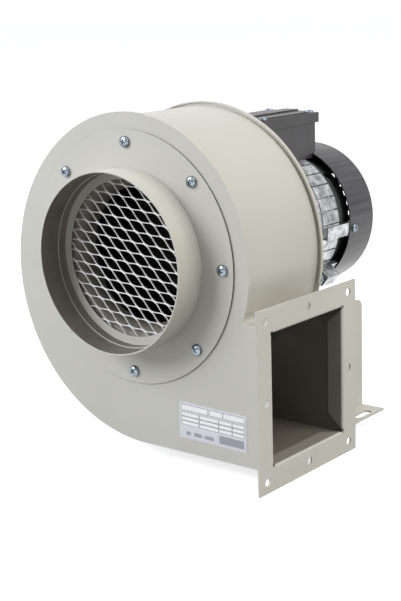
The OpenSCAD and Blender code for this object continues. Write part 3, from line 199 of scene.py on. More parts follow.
def metal(name, tone, shade, roughness, spread, **settings):
    """A finish of bare metal."""
    return finish(name, tone, shade, roughness, spread, metallic=1.0, **settings)


def per_metre(pattern_mm):
    """The scale of a texture whose pattern is about this wide."""
    return 1000 / pattern_mm


def stepped(tree, value, low, high):
    """A value spread so that low gives 0 and high gives 1."""
    return add(tree, "ShaderNodeMapRange", {"Value": value, "From Min": low, "From Max": high}).outputs[0]


def part_of(material, key):
    return material.node_tree.nodes[material["parts"][key]]


def vector_of(material):
    """The place that the patterns of a finish read."""
    return part_of(material, "vector").outputs[0]


def retone(material, factor, hex_colour):
    """Mixes another colour over the base colour where factor is 1."""
    tree, skin = material.node_tree, part_of(material, "skin")
    under = skin.inputs["Base Color"].links[0].from_socket
    over = add(
        tree,
        "ShaderNodeMix",
        {FACTOR: factor, FIRST: under, SECOND: linear(hex_colour)},
        data_type="RGBA",
    )
    tree.links.new(over.outputs[2], skin.inputs["Base Color"])


def relief(material, height, depth_mm):
    """Adds a second, coarser relief under the grain."""
    tree = material.node_tree
    coarse = add(tree, "ShaderNodeBump", {"Height": height, "Strength": 0.7, "Distance": depth_mm * MM})
    tree.links.new(coarse.outputs[0], part_of(material, "bump").inputs["Normal"])


# Finishes, each named for what the real surface is


def polyester_powder_coat(name, inside=None):
    """Baked powder coat: light grey with a soft orange peel, and a darker colour inside the casing as painted
    shade.
    """
    casing = colours_hex(bpy.context.scene.blower_colours.casing)
    material = finish(name, casing, "#BFBDB3", 0.4, 0.05, spot_mm=120, grain_mm=1.6, relief_mm=0.012)
    if inside:
        tree = material.node_tree
        x, y, z = add(tree, "ShaderNodeSeparateXYZ", {0: vector_of(material)}).outputs

        def test(operation, a, b, c=0.0):
            return add(tree, "ShaderNodeMath", {0: a, 1: b, 2: c}, operation=operation).outputs[0]

        def both(one, other):
            return test("MULTIPLY", one, other)

        def between(value, bounds):
            low, high = bounds
            return both(test("GREATER_THAN", value, low * MM), test("LESS_THAN", value, high * MM))

        def within(centre, radius):
            dx = test("SUBTRACT", x, centre[0] * MM)
            dz = test("SUBTRACT", z, centre[1] * MM)
            return test("LESS_THAN", test("ADD", both(dx, dx), both(dz, dz)), (radius * MM) ** 2)

        # The round part, the spiral left of the ray at which it starts, and the straight duct
        left = test("MULTIPLY", test("SUBTRACT", x, SPIRAL_CENTRE[0] * MM), -math.sin(SPIRAL_START))
        across = test("SUBTRACT", z, SPIRAL_CENTRE[1] * MM)
        left = test("MULTIPLY_ADD", across, math.cos(SPIRAL_START), left)
        spiral = both(within(SPIRAL_CENTRE, SPIRAL_RADIUS), test("GREATER_THAN", left, 0))
        scroll = test("MAXIMUM", within((0, 0), ROUND_RADIUS), spiral)
        duct = both(between(z, DUCT_Z), test("GREATER_THAN", x, DUCT_X[0] * MM))
        reach = both(test("MAXIMUM", scroll, duct), test("LESS_THAN", x, DUCT_X[1] * MM))
        # Painted shade: faces inside the casing's walls take the darker colour.
        retone(material, both(reach, between(y, DUCT_Y)), inside)
    return material


def painted_inner_shade():
    """Darker brown grey inside the inlet, a painted shade: matt and a little dusty."""
    return finish("inner_painted_shade", "#7B766B", "#69645A", 0.55, 0.12, spot_mm=22, grain_mm=1.0, relief_mm=0.02)


def dipped_mesh_paint():
    """Thick light paint run over the strands of expanded metal."""
    return finish("mesh_coat", "#FAFAF7", "#F0F0EC", 0.35, 0.08, spot_mm=14, grain_mm=0.8, relief_mm=0.03)


def black_dip_paint():
    """Black dip paint on the wheel: satin, with grey dust caught on it that also stands in for painted
    glints.
    """
    tones = ("#161617", "#3A3936")
    return finish("wheel_dip_paint", *tones, 0.34, 0.2, spot_mm=12, grain_mm=0.9, relief_mm=0.03)


def streaked_enamel():
    """Dark enamel over rolled sheet: glossy, with fine streaks along the roll direction."""
    return finish(
        "cowl_enamel",
        "#1D1B1F",
        "#454348",
        0.3,
        0.1,
        spot_mm=4.5,
        grain_mm=1.1,
        relief_mm=0.015,
        stretch=(1, 0.03, 1),
    )


def box_enamel():
    """The same enamel on a die-cast box: satin over a fine pebbled skin."""
    return finish("box_enamel", "#302E31", "#3C3A3D", 0.36, 0.16, spot_mm=26, grain_mm=0.9, relief_mm=0.045)


def grey_green_casting_paint():
    """Matt primer on a casting: dark grey green, grainy."""
    return finish("shield_primer", "#2F3231", "#3C403E", 0.62, 0.16, spot_mm=18, grain_mm=1.4, relief_mm=0.06)


def chill_cast_aluminium():
    """Pressure-cast aluminium: bright skin with cloudy flow marks, pits and dull patches."""
    tones = ("#CFD1D3", "#77797C")
    material = metal("cast_aluminium", *tones, 0.34, 0.3, spot_mm=8, grain_mm=1.3, relief_mm=0.1)
    flow = add(
        material.node_tree,
        "ShaderNodeTexNoise",
        {"Vector": vector_of(material), "Scale": per_metre(7), "Detail": 4.0, "Distortion": 0.8},
    )
    relief(material, flow.outputs["Fac"], 0.5)
    return material


def zinc_plate():
    """Clear zinc plating: bright, faintly blue and barely mottled."""
    return metal("zinc_plating", "#9AA4AC", "#68727A", 0.2, 0.12, spot_mm=2.5, grain_mm=0.7, relief_mm=0.008)


def zinc_painted_shade():
    """Dark blue grey zinc, a painted shade in the recess and round the rim."""
    return metal("zinc_painted_shade", "#3B444C", "#20262B", 0.35, 0.15, spot_mm=2, grain_mm=0.7, relief_mm=0.01)


def aluminium_edge_highlight():
    """The rounded edges of the casting, lighter as a painted highlight."""
    tones = ("#F2F3F4", "#C2C4C6")
    return metal("aluminium_edge_highlight", *tones, 0.25, 0.12, spot_mm=3, grain_mm=0.8, relief_mm=0.02)


def turned_steel():
    """Turned and ground steel with fine rings round the shaft."""
    material = metal("turned_steel", "#A5A8AB", "#8B8E91", 0.3, 0.12, spot_mm=9, grain_mm=0.8, relief_mm=0.01)
    rings = add(
        material.node_tree,
        "ShaderNodeTexWave",
        {"Vector": vector_of(material), "Scale": per_metre(20)},
        bands_direction="Y",
    )
    relief(material, rings.outputs["Fac"], 0.02)
    return material


def stacked_sheets():
    """Stacked electrical sheet, its edges drawn as fine lines across the shaft."""
    tones = ("#7E8184", "#66696C")
    material = metal("stacked_sheets", *tones, 0.45, 0.16, spot_mm=8, grain_mm=0.9, relief_mm=0.02)
    tree = material.node_tree
    lines = add(
        tree,
        "ShaderNodeTexWave",
        {"Vector": vector_of(material), "Scale": per_metre(6.283)},
        bands_direction="Y",
    ).outputs["Fac"]
    relief(material, lines, 0.15)
    retone(material, stepped(tree, lines, 0.75, 1.0), "#3A3C3E")
    return material


def varnished_wire():
    """Enamelled wire under varnish: reddish brown strands about a millimetre thick."""
    material = finish(
        "varnished_wire",
        "#B4642C",
        "#7E3F18",
        0.32,
        0.15,
        metallic=0.6,
        spot_mm=6,
        grain_mm=1.0,
        relief_mm=0.03,
    )
    tree = material.node_tree
    strands = add(
        tree,
        "ShaderNodeTexWave",
        {"Vector": vector_of(material), "Scale": per_metre(7.0), "Distortion": 1.5, "Detail": 1.0},
        wave_type="RINGS",
        rings_direction="Y",
    ).outputs["Fac"]
    relief(material, strands, 0.3)
    # Darker between the strands, a painted shade.
    retone(material, stepped(tree, strands, 0.35, 0.0), "#4A220C")
    return material


def bare_brass():
    """Drawn brass, slightly tarnished."""
    return metal("bare_brass", "#D9B25A", "#B68D3C", 0.28, 0.14, spot_mm=4, grain_mm=0.6, relief_mm=0.01)


def satin_foil():
    """Satin aluminium foil with a fine brushed grain along its length."""
    return finish(
        "satin_foil",
        "#CFD0D4",
        "#C6C7CB",
        0.45,
        0.1,
        metallic=0.15,
        spot_mm=30,
        grain_mm=0.5,
        relief_mm=0.004,
        stretch=(0.05, 1, 1),
    )


def screen_print(name, tone):
    """A layer of screen-printed ink: flat and slightly uneven."""
    return finish(name, tone, tone, 0.5, 0.08, spot_mm=10, grain_mm=0.6, relief_mm=0.004)


def moulded_rubber():
    """Black rubber with a matt bloom."""
    return finish("moulded_rubber", "#1B1B1C", "#262627", 0.75, 0.12, spot_mm=6, grain_mm=0.6, relief_mm=0.02)


def moulded_nylon():
    """Glass-filled nylon: black, matt, with a faint fibre mottle."""
    return finish("moulded_nylon", "#242527", "#313235", 0.55, 0.16, spot_mm=4, grain_mm=0.7, relief_mm=0.025)


def capacitor_plastic():
    """Smooth pale can, turned a little yellow."""
    return finish("capacitor_can", "#DADBD5", "#CFCFC6", 0.3, 0.06, spot_mm=20, grain_mm=1.0, relief_mm=0.006)


def colours_hex(colour):
    """A colour property as an sRGB hex string."""
    return "#" + "".join(f"{round(255 * v):02X}" for v in colour)


FINISHES = {}


def finish_named(name):
    """Makes each finish once."""
    makers = {
        "casing": lambda: polyester_powder_coat("powder_coat"),
        # Darker colours inside the casing and on the outlet's lips are painted shade.
        "casing_with_inner_shade": lambda: polyester_powder_coat("powder_coat_and_painted_shade", "#6A655B"),
        "casing_with_shaded_lips": lambda: polyester_powder_coat("powder_coat_and_shaded_lips", "#8D887C"),
        "inner_shade": painted_inner_shade,
        "mesh": dipped_mesh_paint,
        "wheel": black_dip_paint,
        "cowl": streaked_enamel,
        "box": box_enamel,
        "shield": grey_green_casting_paint,
        "cast": chill_cast_aluminium,
        "zinc": zinc_plate,
        "zinc_shaded": zinc_painted_shade,
        "cast_edge": aluminium_edge_highlight,
        "steel": turned_steel,
        "sheets": stacked_sheets,
        "wire": varnished_wire,
        "brass": bare_brass,
        "foil": satin_foil,
        "field": lambda: screen_print("white_print", "#F4F4F3"),
        "rule": lambda: screen_print("dark_print", "#4E4F55"),
        "block": lambda: screen_print("grey_print", "#9A9BA2"),
        "rubber": moulded_rubber,
        "nylon": moulded_nylon,
        "can": capacitor_plastic,
    }
    if name not in FINISHES:
        FINISHES[name] = makers[name]()
    return FINISHES[name]


# Modelling


def only(obj):
    """Selects this object alone and makes it active."""
    bpy.ops.object.select_all(action="DESELECT")
    obj.hide_set(False)
    obj.select_set(True)
    bpy.context.view_layer.objects.active = obj


def named(name):
    """Names the active object, puts its place into its mesh and returns it."""
    piece = bpy.context.object
    piece.name = piece.data.name = name
    only(piece)
    bpy.ops.object.transform_apply(location=True, rotation=True, scale=True)
    return piece


def modify(piece, kind, **settings):
    """Adds a modifier and applies it."""
    only(piece)
    bpy.ops.object.modifier_add(type=kind)
    modifier = piece.modifiers[-1]
    for key, value in settings.items():
        setattr(modifier, key, value)
    bpy.ops.object.modifier_apply(modifier=modifier.name)


def soften(piece, width_mm, segments=2, angle=35.0, skin=-1):
    """Rounds the sharp edges by width_mm, in the piece's finish number skin, and shades the rest smooth."""
    only(piece)
    bpy.ops.object.shade_smooth()
    modify(
        piece,
        "BEVEL",
        width=width_mm * MM,
        segments=segments,
        limit_method="ANGLE",
        angle_limit=math.radians(angle),
        harden_normals=True,
        use_clamp_overlap=True,
        miter_outer="MITER_ARC",
        material=skin,
    )


def cut(piece, tool, operation="DIFFERENCE"):
    """Cuts a piece with a tool, which is used up."""
    modify(piece, "BOOLEAN", object=tool, operation=operation, solver="EXACT")
    bpy.data.objects.remove(tool)
    if not piece.data.polygons:
        raise RuntimeError(f"nothing is left of {piece.name} after a cut")


def pick(piece, test):
    """Selects, in edit mode, the faces whose centre in millimetres and normal pass the test."""
    only(piece)
    bpy.ops.object.mode_set(mode="EDIT")
    bpy.ops.mesh.select_mode(type="FACE")
    bpy.ops.mesh.select_all(action="DESELECT")
    bpy.ops.object.mode_set(mode="OBJECT")
    for face in piece.data.polygons:
        face.select = bool(test(face.center / MM, face.normal))
    bpy.ops.object.mode_set(mode="EDIT")


def paint(piece, number, test):
    """Gives the faces that pass the test the piece's finish of this number."""
    pick(piece, test)
    piece.active_material_index = number
    bpy.ops.object.material_slot_assign()
    done()


def move_points(piece, offset_mm, test):
    """Moves the points whose place in millimetres passes the test."""
    only(piece)
    bpy.ops.object.mode_set(mode="EDIT")
    bpy.ops.mesh.select_mode(type="VERT")
    bpy.ops.mesh.select_all(action="DESELECT")
    bpy.ops.object.mode_set(mode="OBJECT")
    for point in piece.data.vertices:
        point.select = bool(test(point.co / MM))
    bpy.ops.object.mode_set(mode="EDIT")
    bpy.ops.transform.translate(value=[v * MM for v in offset_mm])
    done()


def done():
    """Leaves edit mode."""
    bpy.ops.object.mode_set(mode="OBJECT")


def fold(piece, radius_mm, test, segments=5):
    """Rounds the folds whose middle in millimetres and two face normals pass the test."""
    faces = {}
    for face in piece.data.polygons:
        for key in face.edge_keys:
            faces.setdefault(key, []).append(face.normal.copy())
    only(piece)
    bpy.ops.object.mode_set(mode="EDIT")
    bpy.ops.mesh.select_mode(type="EDGE")
    bpy.ops.mesh.select_all(action="DESELECT")
    bpy.ops.object.mode_set(mode="OBJECT")
    for edge in piece.data.edges:
        a, b = (piece.data.vertices[i].co for i in edge.vertices)
        normals = faces.get(edge.key, [])
        edge.select = len(normals) == 2 and test((a + b) / 2 / MM, *normals)
    bpy.ops.object.mode_set(mode="EDIT")
    bpy.ops.mesh.bevel(offset=radius_mm * MM, segments=segments, affect="EDGES", clamp_overlap=True)
    done()


def dress(piece, body, slot, *names):
    """Gives a piece its finishes and its body. The slot is not used."""
    piece.data.materials.clear()
    for name in names:
        piece.data.materials.append(finish_named(name))
    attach(piece, body)
    return piece


def dress_node(node, name):
    """Gives a CAD node a finish."""
    mesh = frame["nodes"][node].data
    mesh.materials.clear()
    mesh.materials.append(finish_named(name))


def copy_of(node, name):
    """A merged copy of a CAD node, its flat faces joined, ready to be shaped. It stands for the node."""
    only(frame["nodes"][node])
    bpy.ops.object.duplicate()
    piece = bpy.context.object
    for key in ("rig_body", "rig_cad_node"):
        del piece[key]
    piece.parent = None
    piece.name = piece.data.name = name
    only(piece)
    bpy.ops.mesh.customdata_custom_splitnormals_clear()
    bpy.ops.object.mode_set(mode="EDIT")
    bpy.ops.mesh.select_all(action="SELECT")
    bpy.ops.mesh.remove_doubles(threshold=2e-6)
    bpy.ops.mesh.dissolve_limited(angle_limit=math.radians(0.3))
    bpy.ops.mesh.select_all(action="DESELECT")
    bpy.ops.object.mode_set(mode="OBJECT")
    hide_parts(node)
    return piece


def box(name, middle_mm, size_mm):
    """A box about a middle, in millimetres."""
    bpy.ops.object.select_all(action="DESELECT")
    bpy.ops.mesh.primitive_cube_add(size=1, location=[v * MM for v in middle_mm])
    bpy.context.object.scale = [v * MM for v in size_mm]
    return named(name)


def cylinder(radius_mm, low, high, vertices=48):
    """A closed cylinder along Y between two places in millimetres."""
    bpy.ops.object.select_all(action="DESELECT")
    bpy.ops.mesh.primitive_cylinder_add(
        vertices=vertices,
        radius=radius_mm * MM,
        depth=(high - low) * MM,
        location=(0, (low + high) / 2 * MM, 0),
        rotation=(math.pi / 2, 0, 0),
    )
    return named("cylinder")


def join(name, pieces):
    """Joins the pieces into one."""
    bpy.ops.object.select_all(action="DESELECT")
    for piece in pieces:
        piece.select_set(True)
    bpy.context.view_layer.objects.active = pieces[0]
    bpy.ops.object.join()
    return named(name)


def move_to(piece, matrix):
    """Moves a piece by the matrix, into its mesh. A mirrored one gets its normals made again."""
    only(piece)
    piece.matrix_world = matrix
    bpy.ops.object.transform_apply(location=True, rotation=True, scale=True)
    if matrix.determinant() < 0:
        bpy.ops.object.mode_set(mode="EDIT")
        bpy.ops.mesh.select_all(action="SELECT")
        bpy.ops.mesh.normals_make_consistent(inside=False)
        done()


def placed_copy(piece, name, matrix):
    """A copy with its own mesh, moved by the matrix."""
    only(piece)
    bpy.ops.object.duplicate()
    made = bpy.context.object
    made.name = made.data.name = name
    move_to(made, matrix)
    return made


def size_mm(name):
    """One of the panel's lengths in millimetres."""
    return getattr(bpy.context.scene.blower_sizes, name) / MM


def pan_screw(radius, height, shank_radius, shank_length):
    """A screw with a domed head towards -Y, a cross recess and its seat at the origin."""
    recess = 2 * radius * bpy.context.scene.blower_sizes.recess_share
    rim_share, dome_steps, dome_step = 0.45, 4, 19
    level = -height * rim_share
    head = cylinder(radius, level, 0, 40)
    for step in range(1, dome_steps + 1):
        angle = math.radians(dome_step * step)
        pick(head, lambda centre, normal: normal.y < -0.99 and centre.y < level + 0.01)
        deeper = -height * (rim_share + (1 - rim_share) * math.sin(angle))
        share = math.cos(angle) / math.cos(math.radians(dome_step * (step - 1)))
        bpy.ops.mesh.extrude_region_move(TRANSFORM_OT_translate={"value": (0, (deeper - level) * MM, 0)})
        bpy.ops.transform.resize(value=(share, 1, share), center_override=(0, deeper * MM, 0))
        done()
        level = deeper
    for turn in (0, 90):
        bar = box("bar", (0, -height * 0.78, 0), (recess, height * 0.62, radius * 0.27))
        pick(bar, lambda centre, normal: normal.y > 0.9)
        bpy.ops.transform.resize(value=(0.5, 1, 0.6), center_override=(0, 0, 0))
        done()
        move_to(bar, turned(turn))
        cut(head, bar)
    soften(head, 0.14, 2, 40)
    head.data.materials.append(None)
    head.data.materials.append(None)

    # Painted shade: the side band of the head and the recess get the dark zinc.
    def painted_shade_faces(centre, normal):
        in_recess = centre.y > -height * 0.8 and math.hypot(centre.x, centre.z) < radius * 0.6
        return abs(normal.y) < 0.6 or in_recess

    paint(head, 1, painted_shade_faces)
    shank = cylinder(shank_radius, -0.1, shank_length, 24)
    return join("screw", [head, shank])


def turned(degrees, axis="Y"):
    """A turn about an axis through the origin."""
    return Matrix.Rotation(math.radians(degrees), 4, axis)


def shifted(x, y, z):
    """A shift in millimetres."""
    return Matrix.Translation((x * MM, y * MM, z * MM))


def round_axis(turn, radius, height):
    """The place at an angle and a radius round the shaft axis, and at a height along it, in millimetres."""
    return turned(-turn) @ shifted(radius, height, 0)


def length(name, description, default_mm, low_mm, high_mm):
    """A length property."""
    return FloatProperty(
        name=name,
        description=description,
        default=default_mm * MM,
        min=low_mm * MM,
        max=high_mm * MM,
        precision=5,
        subtype="DISTANCE",
        unit="LENGTH",
    )


def colour(name, description, default):
    """A colour property."""
    return FloatVectorProperty(
        name=name, description=description, subtype="COLOR_GAMMA", size=3, min=0, max=1, default=default
    )


class BlowerSizes(bpy.types.PropertyGroup):
    """Sizes that only the looks use."""

    sheet_edge: length("Sheet edge", "Rounding of the sheet edges", 0.35, 0.1, 0.5)
    cast_edge: length("Cast edge", "Rounding of the cast edges", 0.45, 0.1, 0.7)
    box_edge: length("Box edge", "Rounding of the terminal box", 0.8, 0.2, 1.2)
    recess_share: FloatProperty(
        name="Recess",
        description="Cross recess as a share of the screw head",
        default=0.62,
        min=0.4,
        max=0.8,
        subtype="FACTOR",
    )
    strand: length("Strand", "Width of a mesh strand", 1.6, 1.0, 2.2)
    fold: length("Rim fold", "Radius of the side plates' folded rim", 1.6, 0.5, 3.0)
    lip_fold: length("Lip fold", "Radius of the fold round the outlet", 2.4, 1.0, 3.5)
    opening_sides: IntProperty(
        name="Opening sides",
        description="Corners round one mesh opening, an even number",
        default=20,
        min=8,
        max=32,
        step=2,
    )


class BlowerColours(bpy.types.PropertyGroup):
    """Colours that a user would change."""

    casing: colour("Casing", "Colour of the casing's paint", (0.773, 0.765, 0.733))
    backdrop: colour("Backdrop", "Colour of the floor as the camera sees it", (1.0, 1.0, 1.0))


class BLOWER_OT_casing(bpy.types.Operator):
    """Side plates, wrap and outlet flange with rounded sheet edges"""

    bl_idname = "blower.casing"
    bl_label = "Casing"

    def execute(self, context):
        edge = size_mm("sheet_edge")
        for node, name in (
            ("front_plate", "front_side_plate"),
            ("rear_plate", "rear_side_plate"),
            ("scroll_wrap", "wrap_sheet"),
            ("outlet_flange", "outlet_frame"),
        ):
            piece = copy_of(node, name)
            if node == "outlet_flange":
                self.shape_lips(piece)
            elif node != "scroll_wrap":
                self.fold_rim(piece, node)
            soften(piece, edge, 3, 50)
            modify(piece, "WEIGHTED_NORMAL", mode="FACE_AREA_WITH_ANGLE", weight=60, keep_sharp=False)
            # The casing gets a darker colour inside and the outlet's lips a middle tone, both painted shade.
            inner = "casing_with_shaded_lips" if node == "outlet_flange" else "casing_with_inner_shade"
            dress(piece, "blower", "casing_paint", inner)
        return {"FINISHED"}

    def fold_rim(self, piece, node):
        """Rounds the fold between a side plate and its rim."""
        low, high = span(node)
        level, side = (low[1], -1) if node == "front_plate" else (high[1], 1)
        inlet_reach, bolt_reach = 115, 8

        def outer(middle, one, two):
            on_fold = max(one.y * side, two.y * side) > 0.9 and min(abs(one.y), abs(two.y)) < 0.1
            from_bolts = min(math.hypot(abs(middle.x) - FOOT_BOLT_X, middle.z - z) for z in FOOT_BOLTS_Z)
            from_axis = math.hypot(middle.x, middle.z)
            outside = from_axis > inlet_reach and from_bolts > bolt_reach
            return on_fold and outside and abs(middle.y - level) < 0.05

        fold(piece, size_mm("fold"), outer)

    def shape_lips(self, piece):
        """Cuts the ends of the lips at an angle and rounds the fold round the opening."""
        low, high = span("outlet_flange")
        back, front = low[0], high[0]
        middle_y, middle_z = (low[1] + high[1]) / 2, (low[2] + high[2]) / 2
        mitre, near = 9, 10

        def at_end(at):
            return at.x < back + 0.2

        def upright(at):
            return min(abs(at.y - side) for side in OPENING_Y) < 2

        for way in (-1, 1):
            move_points(
                piece,
                (0, 0, -mitre * way),
                lambda at: at_end(at) and upright(at) and (at.z - middle_z) * way > near,
            )
            move_points(
                piece,
                (0, -mitre * way, 0),
                lambda at: at_end(at) and not upright(at) and (at.y - middle_y) * way > near,
            )

        # A bar with a hollow edge takes the corner off each side of the opening
        radius = size_mm("lip_fold")
        bounds = (OPENING_Y, OPENING_Z)
        for axis in (0, 1):
            for inner, way in zip(bounds[axis], (-1, 1)):
                start, end = bounds[1 - axis]
                bar = box("bar", (0.5, -0.5, 0), (radius + 1, radius + 1, end - start))
                bpy.ops.object.select_all(action="DESELECT")
                bpy.ops.mesh.primitive_cylinder_add(
                    vertices=48,
                    radius=radius * MM,
                    depth=1,
                    location=(-radius / 2 * MM, radius / 2 * MM, 0),
                )
                cut(bar, named("round"))
                rows = ((1, 0, 0), (0, 0, 1), (0, way, 0)) if axis else ((1, 0, 0), (0, way, 0), (0, 0, 1))
                middle = [front - radius / 2, 0, 0]
                middle[1 + axis] = inner + way * radius / 2
                middle[2 - axis] = (start + end) / 2
                move_to(bar, shifted(*middle) @ Matrix(rows).to_4x4())
                cut(piece, bar)


class BLOWER_OT_inlet(bpy.types.Operator):
    """Mounting ring, spigot, guard frame and inlet cone"""

    bl_idname = "blower.inlet"
    bl_label = "Inlet"

    def execute(self, context):
        edge = size_mm("sheet_edge")
        ring = copy_of("inlet_ring", "mounting_ring")
        soften(ring, edge, 2, 50)
        dress(ring, "blower", "casing_paint", "casing", "rubber")
        # The ring's outer edge takes the black rubber, a painted shadow line at its edge
        radius = span("inlet_ring")[1][0]
        paint(ring, 1, lambda at, normal: abs(normal.y) < 0.1 and math.hypot(at.x, at.z) > radius - 0.5)
        for node, name in (("inlet_spigot", "inlet_collar"), ("guard_frame", "guard_angle_ring")):
            piece = copy_of(node, name)
            soften(piece, edge, 2, 50)
            dress(piece, "blower", "casing_paint", "casing", "inner_shade")
            # Painted shade: the faces that look at the shaft axis get the darker brown grey.
            paint(piece, 1, self.faces_axis)
        # The inlet cone, deep inside, is all painted shade.
        dress_node("inlet_cone", "inner_shade")
        dress_node("inlet_nuts", "zinc")
        return {"FINISHED"}

    def faces_axis(self, at, normal):
        """Whether a face looks at the shaft axis."""
        return normal.x * at.x + normal.z * at.z < -0.9 * math.hypot(at.x, at.z)


class BLOWER_OT_guard_mesh(bpy.types.Operator):
    """Expanded metal: lens-shaped openings in a staggered pattern, with softened strands"""

    bl_idname = "blower.guard_mesh"
    bl_label = "Guard mesh"

    def execute(self, context):
        # A lozenge has four corners, and rounding two of them adds the rest
        segments = (context.scene.blower_sizes.opening_sides - 4) // 2
        low, high = span("guard_mesh")
        radius, border = high[0], 2.0
        # Half an opening's length and height between the strands' middles, and the pattern's turn and shift
        half_long, half_short, turn, shift_x, shift_z = 13.7, 5.15, -25.3, 10.5, -0.6
        sheet = cylinder(radius, low[1], high[1], 160)
        # A lozenge, sharp at the ends of the slit, with its two blunt corners rounded
        reach = math.hypot(half_long, half_short)
        half_strand = size_mm("strand") / 2
        blunt_share, round_share = 1.29, 0.35
        long = half_long - half_strand * reach / half_short
        short = blunt_share * (half_short - half_strand * reach / half_long)
        bpy.ops.object.select_all(action="DESELECT")
        bpy.ops.mesh.primitive_cylinder_add(vertices=4, radius=1, depth=1, rotation=(math.pi / 2, 0, 0))
        bpy.context.object.location = (0, (low[1] + high[1]) / 2 * MM, 0)
        bpy.context.object.scale = (long * MM, short * MM, 3 * (high[1] - low[1]) * MM)
        lens = named("lens")
        corner = round_share * math.hypot(long, short)
        fold(lens, corner, lambda middle, one, two: abs(middle.x) < 0.1, segments)
        openings = []
        for m in range(-8, 9):
            for n in range(-18, 19):
                x, z = m * half_long + shift_x, n * half_short + shift_z
                if (m + n) % 2 and math.hypot(x, z) < radius:
                    openings.append(placed_copy(lens, "lens", turned(-turn) @ shifted(x, 0, z)))
        bpy.data.objects.remove(lens)
        openings = join("openings", openings)
        cut(openings, cylinder(radius - border, low[1] - 5, high[1] + 5, 160), "INTERSECT")
        cut(sheet, openings)
        sheet.name = sheet.data.name = "expanded_mesh_guard"
        soften(sheet, 0.32, 2, 40)
        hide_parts("guard_mesh")
        dress(sheet, "blower", "mesh_paint", "mesh")
        return {"FINISHED"}


class BLOWER_OT_screws(bpy.types.Operator):
    """Cross-recess screws of the ring, the lid and the cowl"""

    bl_idname = "blower.screws"
    bl_label = "Screws"

    def execute(self, context):
        ring_circle, twists = 101.6, (18, -12, 47, 8, 33, 3, 22, 58)
        places = [round_axis(90 + 45 * i, ring_circle, 0) @ turned(twist) for i, twist in enumerate(twists)]
        self.set_screws("ring", "inlet_screws", places, pan_screw(5.0, 3.6, 2.5, 6.7))

        head, shank = 4.0, 18.0
        low, high = span("lid_screws")
        corners = [(x, y) for x in (low[0] + head, high[0] - head) for y in (low[1] + head, high[1] - head)]
        places = [
            shifted(x, y, low[2] + shank) @ turned(-90, "X") @ Matrix.Rotation(0.4 + 1.1 * i, 4, "Y")
            for i, (x, y) in enumerate(corners)
        ]
        self.set_screws("lid", "lid_screws", places, pan_screw(head, 2.6, 2.0, shank))

        low, high = span("cowl_screws")
        arms, cowl_radius, height = (-5, 121.5, -125), 71.6, (low[1] + high[1]) / 2
        places = [
            round_axis(arm, cowl_radius, height) @ turned(90, "Z") @ Matrix.Rotation(0.5 + i, 4, "Y")
            for i, arm in enumerate(arms)
        ]
        self.set_screws("cowl", "cowl_screws", places, pan_screw(head, 2.6, 2.0, 4.2))
        return {"FINISHED"}

    def set_screws(self, name, node, places, pattern):
        """Sets a copy of the pattern at each place and uses it up. Together they stand for the node."""
        for i, place in enumerate(places):
            piece = placed_copy(pattern, f"{name}_screw_{i + 1}", place)
            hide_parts(node)
            dress(piece, "blower", "zinc", "zinc", "zinc_shaded")
        bpy.data.objects.remove(pattern)


class BLOWER_OT_earth_bolt(bpy.types.Operator):
    """Hexagon bolt with a flat and a split washer on the earth lug"""

    bl_idname = "blower.earth_bolt"
    bl_label = "Earth bolt"

    def execute(self, context):
        half_flats, shank_length = 5.0, 12
        # Heights above the lug: the flat washer, the split washer and the head, which sinks in a little
        flat_top, split_top, head_top, sunk = 1.1, 2.5, 6.4, 0.1
        head = cylinder(half_flats / math.cos(math.pi / 6), -head_top, sunk - split_top, 6)
        soften(head, 0.5, 3, 50)
        flat = cylinder(6.2, -flat_top, 0, 40)
        soften(flat, 0.25, 2, 50)
        split = cylinder(half_flats, -split_top, -flat_top, 40)
        pick(split, lambda centre, normal: centre.x > half_flats - 0.1)
        bpy.ops.mesh.inset(thickness=0.15 * MM)
        done()
        soften(split, 0.3, 2, 50)
        shank = cylinder(3.0, -0.5, shank_length, 24)
        bolt = join("earth_screw", [head, flat, split, shank])
        lug_angle, lug_radius, shank_end = -40, 78.0, span("earth_bolt")[1][1]
        move_to(bolt, round_axis(lug_angle, lug_radius, shank_end - shank_length))
        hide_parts("earth_bolt")
        dress(bolt, "blower", "zinc", "zinc")
        return {"FINISHED"}


